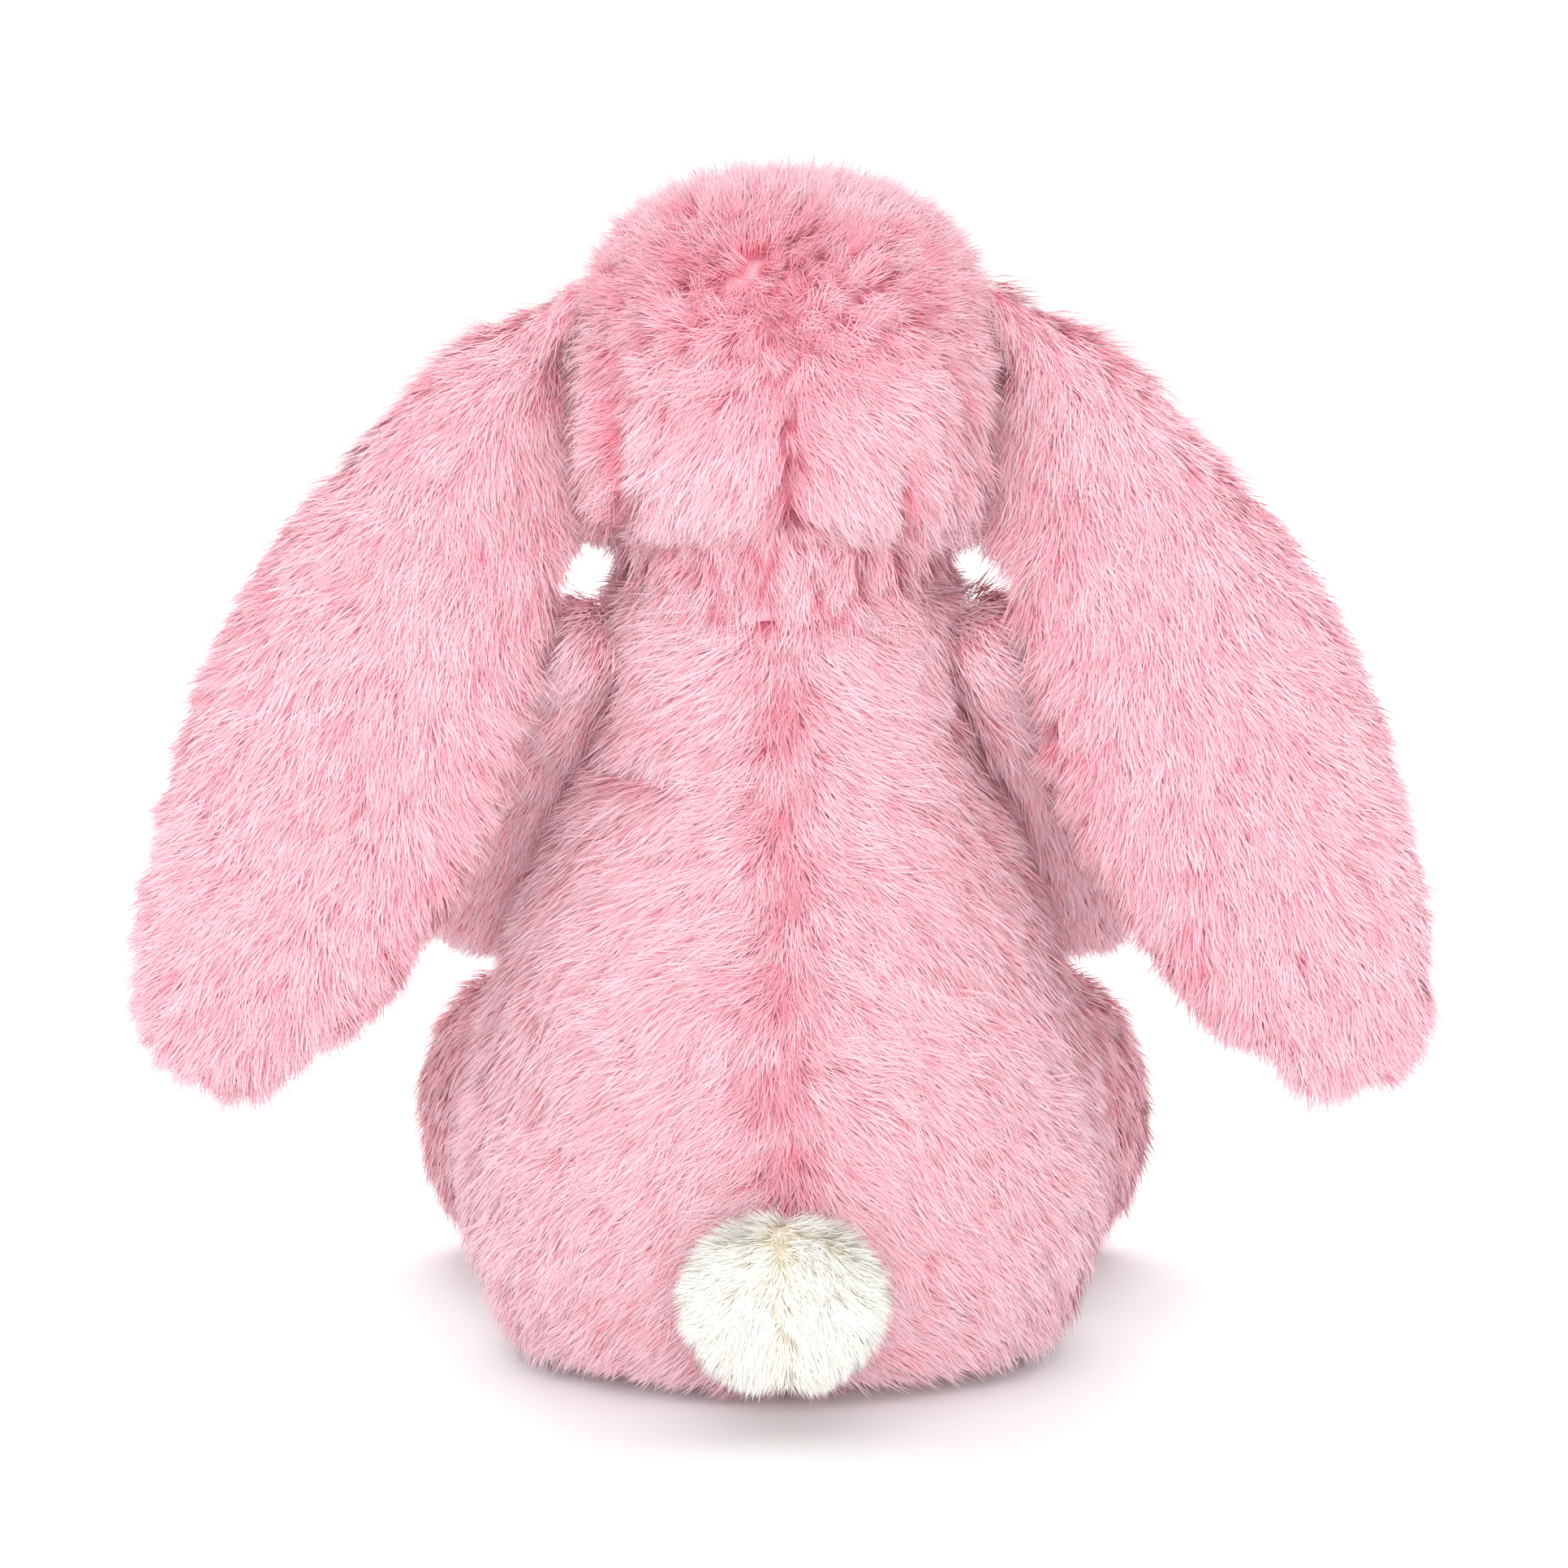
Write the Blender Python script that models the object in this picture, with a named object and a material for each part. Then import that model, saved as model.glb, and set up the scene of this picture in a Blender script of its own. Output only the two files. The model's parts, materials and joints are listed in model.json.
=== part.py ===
"""A seated stuffed bunny with long hanging ears, built as its sewn panels, stuffing, bean pouch and fittings.

Run with: blender --background --python part.py
Units are metres. +Z is up, the face looks along -Y, and +X is the bunny's own left.
The origin is the middle of the flat seat, on the surface that the bunny sits on.
"""

import math
from dataclasses import dataclass

import bmesh
import bpy
from mathutils import Matrix, Vector

# Driving dimensions
TORSO_HEIGHT = 0.1410
TORSO_WIDTH = 0.1180
TORSO_DEPTH = 0.0900
HEAD_WIDTH = 0.0770
HEAD_LENGTH = 0.0930
HEAD_TOP = 0.2125
NECK_HEIGHT = 0.1460
EAR_HALF_WIDTH = 0.0286
EAR_HALF_THICKNESS = 0.0052
ARM_RADIUS = 0.0122
LEG_HALF_WIDTH = 0.0210
FOOT_HEIGHT = 0.0590
TAIL_WIDTH = 0.0385

# Fabric and clearances
PLUSH_WALL = 0.0036  # backing and pressed pile
SEAM_GAP = 0.0004
FILLING_GAP = 0.0007  # between a shell and its stuffing
PART_GAP = 0.0008

# How finely round forms are faceted
BODY_COLUMNS = 32
HEAD_COLUMNS = 32
LIMB_COLUMNS = 20
EAR_COLUMNS = 12
TURNED_STEPS = 20

COLOURS = {
    "pink_plush": ((0.90, 0.50, 0.58), 0.95, 0.0),
    "white_plush": ((0.92, 0.91, 0.84), 0.95, 0.0),
    "fibre_fill": ((0.93, 0.93, 0.93), 1.0, 0.0),
    "pouch_cotton": ((0.86, 0.83, 0.76), 0.9, 0.0),
    "pellets": ((0.80, 0.80, 0.80), 0.5, 0.0),
    "eye_plastic": ((0.02, 0.013, 0.01), 0.08, 0.0),
    "washer_plastic": ((0.85, 0.85, 0.85), 0.45, 0.0),
    "nose_thread": ((0.80, 0.30, 0.38), 0.7, 0.0),
}


def clear_scene():
    for obj in list(bpy.data.objects):
        bpy.data.objects.remove(obj)


def material(name):
    """The material of that name from COLOURS."""
    found = bpy.data.materials.get(name)
    if found:
        return found
    colour, roughness, metallic = COLOURS[name]
    made = bpy.data.materials.new(name)
    made.use_nodes = True
    shader = made.node_tree.nodes["Principled BSDF"]
    shader.inputs["Base Color"].default_value = (*colour, 1.0)
    shader.inputs["Roughness"].default_value = roughness
    shader.inputs["Metallic"].default_value = metallic
    return made


def new_object(name, bm, slot, parent=None):
    """A smooth-shaded object from a bmesh, which is freed."""
    bmesh.ops.recalc_face_normals(bm, faces=bm.faces)
    mesh = bpy.data.meshes.new(name)
    bm.to_mesh(mesh)
    bm.free()
    mesh.materials.append(material(slot))
    mesh.shade_smooth()
    obj = bpy.data.objects.new(name, mesh)
    bpy.context.scene.collection.objects.link(obj)
    if parent:
        attach(obj, parent)
    return obj


def pivot(name, place):
    """An empty on a joint's axis."""
    empty = bpy.data.objects.new(name, None)
    empty.location = place
    bpy.context.scene.collection.objects.link(empty)
    return empty


def attach(obj, empty):
    """Parents obj to a pivot and keeps it where it was modelled."""
    obj.parent = empty
    obj.matrix_parent_inverse = Matrix.Translation(-empty.location)


@dataclass
class Section:
    """One cross-section of a soft form: a squared ellipse round centre, with half sizes along two directions."""

    centre: Vector
    side: Vector
    up: Vector
    low: float = 1.0  # the half below centre, as a share of the half above
    squareness: float = 2.0  # of the lower half, 2 being an ellipse
    crown: float = 2.0  # squareness of the upper half

    def point(self, turn):
        power = self.squareness if math.sin(turn) < 0 else self.crown
        along = math.copysign(abs(math.cos(turn)) ** (2 / power), math.cos(turn))
        above = math.copysign(abs(math.sin(turn)) ** (2 / power), math.sin(turn))
        height = above * (self.low if above < 0 else 1.0)
        return self.centre + self.side * along + self.up * height

    def ring(self, columns, start=0.0, stop=2 * math.pi):
        """Points from start to stop. A ring that isn't a full turn includes both ends."""
        full = abs(stop - start) > 2 * math.pi - 1e-6
        count = columns if full else columns + 1
        return [self.point(start + (stop - start) * i / columns) for i in range(count)]

    def scaled(self, size, shift):
        return Section(
            self.centre + shift,
            self.side * size,
            self.up * size,
            self.low,
            self.squareness,
            self.crown,
        )


def domed(sections, start_depth, end_depth, rings=3):
    """The sections with a rounded end beyond the first and the last."""

    def dome(section, neighbour, depth):
        outward = (section.centre - neighbour.centre).normalized() * depth
        found = []
        for i in range(1, rings + 1):
            turn = math.pi / 2 * i / (rings + 1)
            found.append(section.scaled(math.cos(turn), outward * math.sin(turn)))
        return found, section.centre + outward

    first, first_pole = dome(sections[0], sections[1], start_depth)
    last, last_pole = dome(sections[-1], sections[-2], end_depth)
    return first[::-1] + list(sections) + last, first_pole, last_pole


def loft(rings, first_pole=None, last_pole=None):
    """A closed bmesh through rings of equal length, ending in a pole or a flat cap."""
    bm = bmesh.new()
    rows = [[bm.verts.new(p) for p in ring] for ring in rings]
    count = len(rows[0])
    for lower, upper in zip(rows, rows[1:]):
        for i in range(count):
            j = (i + 1) % count
            bm.faces.new((lower[i], lower[j], upper[j], upper[i]))
    for row, pole in ((rows[0], first_pole), (rows[-1], last_pole)):
        if pole is None:
            bm.faces.new(row)
            continue
        tip = bm.verts.new(pole)
        for i in range(count):
            bm.faces.new((row[i], row[(i + 1) % count], tip))
    bmesh.ops.recalc_face_normals(bm, faces=bm.faces)
    bm.verts.index_update()
    return bm


def soft_form(sections, columns, start_depth, end_depth, rings=3):
    """A closed rounded form through the sections."""
    every, first_pole, last_pole = domed(sections, start_depth, end_depth, rings)
    return loft([s.ring(columns) for s in every], first_pole, last_pole)


def seam_shift(vert, kept):
    """How far a panel's edge is drawn back from the seam: towards its own faces, or nothing inside the panel."""
    on_seam = any(sum(f in kept for f in e.link_faces) == 1 for e in vert.link_edges)
    if not on_seam:
        return Vector()
    own = [f for f in vert.link_faces if f in kept]
    towards = sum(((f.calc_center_median() - vert.co).normalized() for f in own), Vector())
    reach = SEAM_GAP * (1.6 if len(own) == 1 else 1.0)
    return towards.normalized() * reach


def plush_panel(name, form, wanted, slot="pink_plush", parent=None, wall=PLUSH_WALL):
    """A sewn panel: the part of a form's surface that passes the test, as thick as the plush."""
    form.normal_update()
    kept = {f for f in form.faces if wanted(f.calc_center_median())}
    bm = bmesh.new()
    outer = {}
    inner = {}
    for vert in {v for f in kept for v in f.verts}:
        shift = seam_shift(vert, kept)
        outer[vert.index] = bm.verts.new(vert.co + shift)
        inner[vert.index] = bm.verts.new(vert.co + shift - vert.normal * wall)
    for face in kept:
        corners = [v.index for v in face.verts]
        bm.faces.new([outer[i] for i in corners])
        bm.faces.new([inner[i] for i in reversed(corners)])
        for edge in face.edges:
            if sum(f in kept for f in edge.link_faces) == 1:
                i, j = (v.index for v in edge.verts)
                bm.faces.new((outer[i], outer[j], inner[j], inner[i]))
    form.free()
    return new_object(name, bm, slot, parent)


def stuffing(name, form, parent=None, wall=PLUSH_WALL, slot="fibre_fill"):
    """The filling of a form, drawn in from its surface by the plush and a small gap."""
    form.normal_update()
    for vert in form.verts:
        vert.co -= vert.normal * (wall + FILLING_GAP)
    return new_object(name, form, slot, parent)


def turned(profile, steps=TURNED_STEPS):
    """A closed bmesh turned about Z from (radius, height) points that start and end on the axis."""
    rings = []
    for radius, height in profile[1:-1]:
        rings.append([
            Vector((
                radius * math.cos(2 * math.pi * i / steps),
                radius * math.sin(2 * math.pi * i / steps),
                height,
            ))
            for i in range(steps)
        ])
    first = Vector((0, 0, profile[0][1]))
    last = Vector((0, 0, profile[-1][1]))
    return loft(rings, first, last)


def place(bm, where, along):
    """Turns a bmesh so that its +Z looks along a direction, and moves it."""
    turn = along.to_track_quat("Z", "Y").to_matrix().to_4x4()
    bmesh.ops.transform(bm, matrix=Matrix.Translation(where) @ turn, verts=bm.verts)
    return bm


def cut(obj, cutter_name, bm):
    """Takes a shape away from obj."""
    cutter = new_object(cutter_name, bm, "fibre_fill")
    cutter.hide_render = True
    cutter.display_type = "WIRE"
    boolean = obj.modifiers.new("cut " + cutter_name, "BOOLEAN")
    boolean.operation = "DIFFERENCE"
    boolean.object = cutter


# Torso: a pear that sits on a flat seat

# share of height, of half width and of half depth
TORSO_SHAPE = (
    (0.000, 0.60, 0.68),
    (0.035, 0.86, 0.89),
    (0.170, 0.99, 0.99),
    (0.270, 1.00, 1.00),
    (0.380, 0.96, 0.97),
    (0.480, 0.90, 0.92),
    (0.590, 0.81, 0.85),
    (0.690, 0.71, 0.77),
    (0.770, 0.61, 0.71),
    (0.870, 0.53, 0.65),
    (0.960, 0.530, 0.640),
    (1.000, 0.490, 0.600),
)
TORSO_DOME = 0.0022
SEAT_RISE = 0.0030  # the seat panel turns up this far before its seam
POUCH_RADIUS = 0.0290
POUCH_BASE = PLUSH_WALL + PART_GAP
POUCH_HEIGHT = 0.0180
POUCH_WALL = 0.0010
POUCH_FILL_HOLE = 0.0045


def torso_sections():
    return [
        Section(
            Vector((0, 0, up * TORSO_HEIGHT)),
            Vector((wide * TORSO_WIDTH / 2, 0, 0)),
            Vector((0, deep * TORSO_DEPTH / 2, 0)),
        )
        for up, wide, deep in TORSO_SHAPE
    ]


def torso_form():
    """The torso's outside, flat at the seat and domed at the neck."""
    every, _, top = domed(torso_sections(), 0.001, TORSO_DOME, rings=1)
    rings = [s.ring(BODY_COLUMNS) for s in every[1:]]
    return loft(rings, Vector((0, 0, 0)), top)


def build_torso():
    def seat(p):
        return p.z < SEAT_RISE

    plush_panel("seat_panel", torso_form(), seat)
    plush_panel("tummy_panel", torso_form(), lambda p: p.y < 0 and not seat(p))
    for side, sign in (("left", 1), ("right", -1)):
        plush_panel(
            f"back_panel_{side}",
            torso_form(),
            lambda p, sign=sign: p.y > 0 and p.x * sign > 0 and not seat(p),
        )
    filling = stuffing("torso_stuffing", torso_form())
    pocket = [
        (0, -0.01),
        (POUCH_RADIUS + PART_GAP, -0.01),
        (POUCH_RADIUS + PART_GAP, POUCH_BASE + POUCH_HEIGHT + PART_GAP),
        (0, POUCH_BASE + POUCH_HEIGHT + PART_GAP),
    ]
    cut(filling, "pouch_pocket_cutter", turned(pocket))
    build_pouch()


def pouch_profile(inset):
    """The pouch as a squat cushion, drawn in by inset."""
    radius = POUCH_RADIUS - inset
    low = POUCH_BASE + inset
    high = POUCH_BASE + POUCH_HEIGHT - inset
    corner = 0.0055
    return [
        (0, low),
        (radius - corner, low),
        (radius - corner * 0.3, low + corner * 0.3),
        (radius, low + corner),
        (radius, high - corner),
        (radius - corner * 0.3, high - corner * 0.3),
        (radius - corner, high),
        (0, high),
    ]


def build_pouch():
    pouch = new_object("bean_pouch", turned(pouch_profile(0)), "pouch_cotton")
    cut(pouch, "pouch_hollow_cutter", turned(pouch_profile(POUCH_WALL)))
    top = POUCH_BASE + POUCH_HEIGHT
    hole = [
        (0, top - 3 * POUCH_WALL),
        (POUCH_FILL_HOLE, top - 3 * POUCH_WALL),
        (POUCH_FILL_HOLE, top + POUCH_WALL),
        (0, top + POUCH_WALL),
    ]
    cut(pouch, "pouch_hole_cutter", turned(hole))
    new_object("bean_pellets", turned(pouch_profile(POUCH_WALL + SEAM_GAP)), "pellets")


# Neck

COLLAR_RADIUS = 0.0150
COLLAR_BASE = TORSO_HEIGHT + TORSO_DOME + 0.0004
COLLAR_TOP = NECK_HEIGHT - 0.0008


def build_neck():
    """The ring of neck stitching and padding that the head turns and nods on."""
    neck = pivot("neck_pivot", Vector((0, 0, NECK_HEIGHT)))
    edge = (COLLAR_TOP - COLLAR_BASE) / 2
    profile = [
        (0, COLLAR_BASE),
        (COLLAR_RADIUS - edge, COLLAR_BASE),
        (COLLAR_RADIUS, COLLAR_BASE + edge),
        (COLLAR_RADIUS - edge, COLLAR_TOP),
        (0, COLLAR_TOP),
    ]
    new_object("neck_collar", turned(profile, BODY_COLUMNS), "pink_plush", neck)
    return neck


# Head: lofted from the back of the skull to the muzzle

# share of length from the back, share of half width, top and underside heights
HEAD_SHAPE = (
    (0.10, 0.72, 0.2018, 0.1535),
    (0.20, 0.90, 0.2088, 0.1495),
    (0.34, 1.00, 0.2125, 0.1478),
    (0.47, 0.98, 0.2116, 0.1482),
    (0.60, 0.88, 0.2076, 0.1490),
    (0.72, 0.72, 0.2002, 0.1505),
    (0.83, 0.56, 0.1925, 0.1520),
    (0.93, 0.40, 0.1858, 0.1540),
)
HEAD_MIDDLE = 0.38  # the widest level, as a share of the height above the underside
HEAD_BACK = 0.0400
CHEEK_SQUARENESS = 4.6
CROWN_SQUARENESS = 2.5
SKULL_DOME = 0.0093
MUZZLE_DOME = 0.0065
CROWN_HALF_TURN = math.radians(24)
BACK_SEAM_Y = 0.0060


def head_sections():
    found = []
    for along, wide, top, bottom in HEAD_SHAPE:
        middle = bottom + HEAD_MIDDLE * (top - bottom)
        rise = top - middle
        found.append(
            Section(
                Vector((0, HEAD_BACK - along * HEAD_LENGTH, middle)),
                Vector((wide * HEAD_WIDTH / 2, 0, 0)),
                Vector((0, 0, rise)),
                (middle - bottom) / rise,
                CHEEK_SQUARENESS,
                CROWN_SQUARENESS,
            )
        )
    return found


def head_form():
    return soft_form(head_sections(), HEAD_COLUMNS, SKULL_DOME, MUZZLE_DOME)


def on_head(along, turn):
    """A point on the head and the outward direction there, at a share of its length and a turn up from its side."""
    sections = head_sections()
    places = [row[0] for row in HEAD_SHAPE]
    i = max(k for k in range(len(places) - 1) if places[k] <= along)
    share = (along - places[i]) / (places[i + 1] - places[i])

    def at(angle):
        return sections[i].point(angle).lerp(sections[i + 1].point(angle), share)

    step = math.radians(4)
    round_ring = at(turn + step) - at(turn - step)
    forward = sections[i + 1].point(turn) - sections[i].point(turn)
    outward = round_ring.cross(forward).normalized()
    spot = at(turn)
    middle = sections[i].centre
    return spot, outward if outward.dot(spot - middle) > 0 else -outward


EYE_ALONG = 0.66
EYE_TURN = math.radians(17)
EYE_RADIUS = 0.0058
EYE_DOME = 0.0036
EYE_STEM_RADIUS = 0.0017
EYE_STEM_LENGTH = 0.0110
WASHER_RADIUS = 0.0062
WASHER_THICKNESS = 0.0014
WASHER_DEPTH = PLUSH_WALL + 2 * FILLING_GAP  # below the head's surface
NOSE_HALF_WIDTH = 0.0062
NOSE_HEIGHT = 0.0078
NOSE_THICKNESS = 0.0026
NOSE_CORNER = 0.0016


def eye_profile():
    """A shallow glossy dome on a stem."""
    dome = [
        (EYE_RADIUS * math.cos(turn), EYE_DOME * math.sin(turn))
        for turn in (math.radians(d) for d in (75, 55, 35, 15))
    ]
    brim = [(EYE_RADIUS, 0.0), (EYE_RADIUS * 0.94, -0.0004)]
    stem = [(EYE_STEM_RADIUS, -0.0004), (EYE_STEM_RADIUS, -EYE_STEM_LENGTH)]
    return [(0, EYE_DOME)] + dome + brim + stem + [(0, -EYE_STEM_LENGTH)]


def cylinder(radius, low, high):
    return turned([(0, low), (radius, low), (radius, high), (0, high)])


def build_eye(side, sign, cheek, filling, head):
    """An eye whose stem goes through the cheek, and the washer that locks it inside."""
    spot, outward = on_head(EYE_ALONG, EYE_TURN)
    spot.x *= sign
    outward.x *= sign
    seat = spot + outward * PART_GAP
    new_object(f"eye_{side}", place(turned(eye_profile()), seat, outward), "eye_plastic", head)
    washer = new_object(
        f"eye_washer_{side}",
        place(cylinder(WASHER_RADIUS, -WASHER_THICKNESS, 0), spot - outward * WASHER_DEPTH, outward),
        "washer_plastic",
        head,
    )
    bore = EYE_STEM_RADIUS + 0.00035
    cut(washer, f"washer_bore_cutter_{side}", place(cylinder(bore, -0.02, 0.01), spot, outward))
    cut(cheek, f"eye_hole_cutter_{side}", place(cylinder(bore, -0.02, 0.01), spot, outward))
    pocket = cylinder(WASHER_RADIUS + PART_GAP, -0.0145, 0.01)
    cut(filling, f"washer_pocket_cutter_{side}", place(pocket, spot, outward))


def nose_form():
    """A padded triangle with rounded corners, point down, flat behind and domed in front."""
    slope = math.atan2(NOSE_HALF_WIDTH, NOSE_HEIGHT)
    side = NOSE_HALF_WIDTH - NOSE_CORNER
    rise = NOSE_HEIGHT / 2 - NOSE_CORNER
    quarter = math.pi / 2
    corners = (
        (side, rise, -slope, quarter),
        (-side, rise, quarter, 2 * quarter + slope),
        (0.0, -rise, 2 * quarter + slope, 4 * quarter - slope),
    )
    outline = []
    for x, z, start, stop in corners:
        for i in range(5):
            turn = start + (stop - start) * i / 4
            outline.append(
                Vector((x + NOSE_CORNER * math.cos(turn), 0, z + NOSE_CORNER * math.sin(turn)))
            )
    rings = []
    for size, forward in ((1.0, 0.0), (1.0, 0.55), (0.86, 0.80), (0.55, 0.95)):
        rings.append([p * size - Vector((0, forward * NOSE_THICKNESS, 0)) for p in outline])
    return loft(rings, None, Vector((0, -NOSE_THICKNESS, 0)))


def build_head(neck):
    head = pivot("head_pivot", Vector((0, 0, NECK_HEIGHT)))
    attach(head, neck)

    def in_back(p):
        return p.y > BACK_SEAM_Y

    def in_crown(p):
        middle = NECK_HEIGHT + HEAD_MIDDLE * (HEAD_TOP - NECK_HEIGHT)
        return p.z > middle and abs(math.atan2(p.x, p.z - middle)) < CROWN_HALF_TURN

    cheeks = {}
    for side, sign in (("left", 1), ("right", -1)):
        plush_panel(
            f"head_back_panel_{side}",
            head_form(),
            lambda p, sign=sign: in_back(p) and p.x * sign > 0,
            parent=head,
        )
        cheeks[side] = plush_panel(
            f"cheek_panel_{side}",
            head_form(),
            lambda p, sign=sign: not in_back(p) and not in_crown(p) and p.x * sign > 0,
            parent=head,
        )
    plush_panel(
        "crown_panel", head_form(), lambda p: in_crown(p) and not in_back(p), parent=head
    )
    filling = stuffing("head_stuffing", head_form(), head)
    for side, sign in (("left", 1), ("right", -1)):
        build_eye(side, sign, cheeks[side], filling, head)
    tip = head_sections()[-1].centre + Vector((0, -MUZZLE_DOME - PART_GAP, 0.0030))
    nose = nose_form()
    bmesh.ops.translate(nose, verts=nose.verts, vec=tip)
    new_object("nose", nose, "nose_thread", head)
    return head


# Ears: two plush layers sewn round the edge, hanging from a seam on the side of the crown

# centre x, centre y, centre z, share of half width, share of half thickness
EAR_SHAPE = (
    (0.0412, 0.0050, 0.1955, 0.165, 0.75),
    (0.0456, 0.0060, 0.1865, 0.230, 0.85),
    (0.0516, 0.0085, 0.1768, 0.450, 1.00),
    (0.0574, 0.0115, 0.1615, 0.680, 1.00),
    (0.0634, 0.0140, 0.1476, 0.870, 1.00),
    (0.0702, 0.0160, 0.1330, 0.960, 1.00),
    (0.0762, 0.0172, 0.1174, 1.000, 1.00),
    (0.0820, 0.0175, 0.1025, 0.985, 1.00),
    (0.0892, 0.0175, 0.0877, 0.895, 1.00),
    (0.0970, 0.0175, 0.0735, 0.730, 0.95),
    (0.1022, 0.0175, 0.0640, 0.540, 0.80),
)
EAR_SEAM = Vector((0.0400, 0.0050, 0.1965))
EAR_TIP_DEPTH = 0.0090
EAR_ROOT_DEPTH = 0.0030


def ear_sections(sign):
    """Flat cross-sections square to the ear's centre line."""
    centres = [Vector((sign * x, y, z)) for x, y, z, _, _ in EAR_SHAPE]
    found = []
    for i, (_, _, _, wide, thick) in enumerate(EAR_SHAPE):
        along = centres[min(i + 1, len(centres) - 1)] - centres[max(i - 1, 0)]
        side = along.cross(Vector((0, 1, 0))).normalized()
        found.append(
            Section(
                centres[i],
                side * wide * EAR_HALF_WIDTH,
                Vector((0, thick * EAR_HALF_THICKNESS, 0)),
            )
        )
    return found


def build_ear(side, sign, head):
    seam = pivot(f"ear_{side}_pivot", Vector((sign * EAR_SEAM.x, EAR_SEAM.y, EAR_SEAM.z)))
    attach(seam, head)
    every, root, tip = domed(ear_sections(sign), EAR_ROOT_DEPTH, EAR_TIP_DEPTH)
    for layer, start, behind in (("outer", 0.0, 1), ("lining", math.pi, -1)):
        shift = Vector((0, behind * SEAM_GAP / 2, 0))
        rings = [
            [p + shift for p in s.ring(EAR_COLUMNS, start, start + math.pi)] for s in every
        ]
        bm = loft(rings, root + shift * 2, tip + shift * 2)
        new_object(f"ear_{side}_{layer}", bm, "pink_plush", seam)


# Arms: tapered tubes sewn into the side seams

# centre x, centre y, centre z, share of the arm's radius
ARM_SHAPE = (
    (0.0405, -0.0035, 0.1320, 0.62),
    (0.0440, -0.0070, 0.1250, 0.82),
    (0.0490, -0.0145, 0.1115, 0.96),
    (0.0525, -0.0225, 0.0975, 1.04),
    (0.0545, -0.0295, 0.0860, 1.10),
    (0.0550, -0.0345, 0.0780, 1.00),
)
SHOULDER = Vector((0.0385, -0.0030, 0.1340))
ARM_ROOT_DEPTH = 0.0035
PAW_DEPTH = 0.0078


def tube_sections(shape, radius, sign):
    """Round cross-sections square to a centre line of (x, y, z, share of radius) points."""
    centres = [Vector((sign * x, y, z)) for x, y, z, _ in shape]
    found = []
    for i, (_, _, _, size) in enumerate(shape):
        along = centres[min(i + 1, len(centres) - 1)] - centres[max(i - 1, 0)]
        side = along.cross(Vector((0, 1, 0))).normalized()
        up = along.cross(side).normalized()
        found.append(Section(centres[i], side * size * radius, up * size * radius))
    return found


def build_arm(side, sign):
    shoulder = pivot(f"arm_{side}_pivot", Vector((sign * SHOULDER.x, SHOULDER.y, SHOULDER.z)))
    sections = tube_sections(ARM_SHAPE, ARM_RADIUS, sign)
    root = sections[0].centre
    inward = (root - sections[1].centre).normalized()

    def past_root(p):
        return (p - root).dot(inward) < ARM_ROOT_DEPTH * 0.5

    form = [soft_form(sections, LIMB_COLUMNS, ARM_ROOT_DEPTH, PAW_DEPTH) for _ in range(2)]
    plush_panel(f"arm_{side}_shell", form[0], past_root, parent=shoulder)
    stuffing(f"arm_{side}_stuffing", form[1], shoulder)


# Legs: short thighs with tall feet, soles forward

# y, half width, underside and top as shares of the foot's height, outward shift of the centre
LEG_SHAPE = (
    (-0.0440, 0.70, 0.080, 0.440, 0.0000),
    (-0.0480, 0.84, 0.020, 0.490, 0.0030),
    (-0.0535, 0.92, 0.000, 0.590, 0.0070),
    (-0.0600, 0.95, 0.000, 0.720, 0.0110),
    (-0.0670, 0.98, 0.000, 0.880, 0.0145),
    (-0.0745, 1.03, 0.000, 0.985, 0.0170),
    (-0.0815, 1.00, 0.000, 1.000, 0.0182),
    (-0.0865, 0.86, 0.055, 0.945, 0.0188),
)
LEG_ROOT_X = 0.0340
HIP = Vector((0.0340, -0.0440, 0.0150))
SOLE_DEPTH = 0.0035
LEG_ROOT_DEPTH = 0.0012
FLOOR_GAP = 0.0002
SOLE_Y = -0.0865


def leg_sections(sign):
    found = []
    for y, wide, low, high, out in LEG_SHAPE:
        bottom = max(low * FOOT_HEIGHT, 0) + FLOOR_GAP
        top = high * FOOT_HEIGHT
        found.append(
            Section(
                Vector((sign * (LEG_ROOT_X + out), y, (bottom + top) / 2)),
                Vector((wide * LEG_HALF_WIDTH, 0, 0)),
                Vector((0, 0, (top - bottom) / 2)),
                1.0,
                2.3,
            )
        )
    return found


def build_leg(side, sign):
    hip = pivot(f"leg_{side}_pivot", Vector((sign * HIP.x, HIP.y, HIP.z)))
    forms = [
        soft_form(leg_sections(sign), LIMB_COLUMNS, LEG_ROOT_DEPTH, SOLE_DEPTH, 1)
        for _ in range(3)
    ]
    root_y = LEG_SHAPE[0][0]

    def in_sole(p):
        return p.y < SOLE_Y

    def in_shell(p):
        return not in_sole(p) and p.y < root_y

    plush_panel(f"leg_{side}_shell", forms[0], in_shell, parent=hip)
    plush_panel(f"foot_{side}_sole", forms[1], in_sole, parent=hip)
    stuffing(f"leg_{side}_stuffing", forms[2], hip, PLUSH_WALL + PART_GAP)


# Tail: two half balls sewn together, with a little stuffing

TAIL_CENTRE = Vector((0, 0.0588, 0.0245))
TAIL_HEIGHT = 0.0344
TAIL_DEPTH = 0.0260
TAIL_ROOT = Vector((0, 0.0448, 0.0245))


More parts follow.
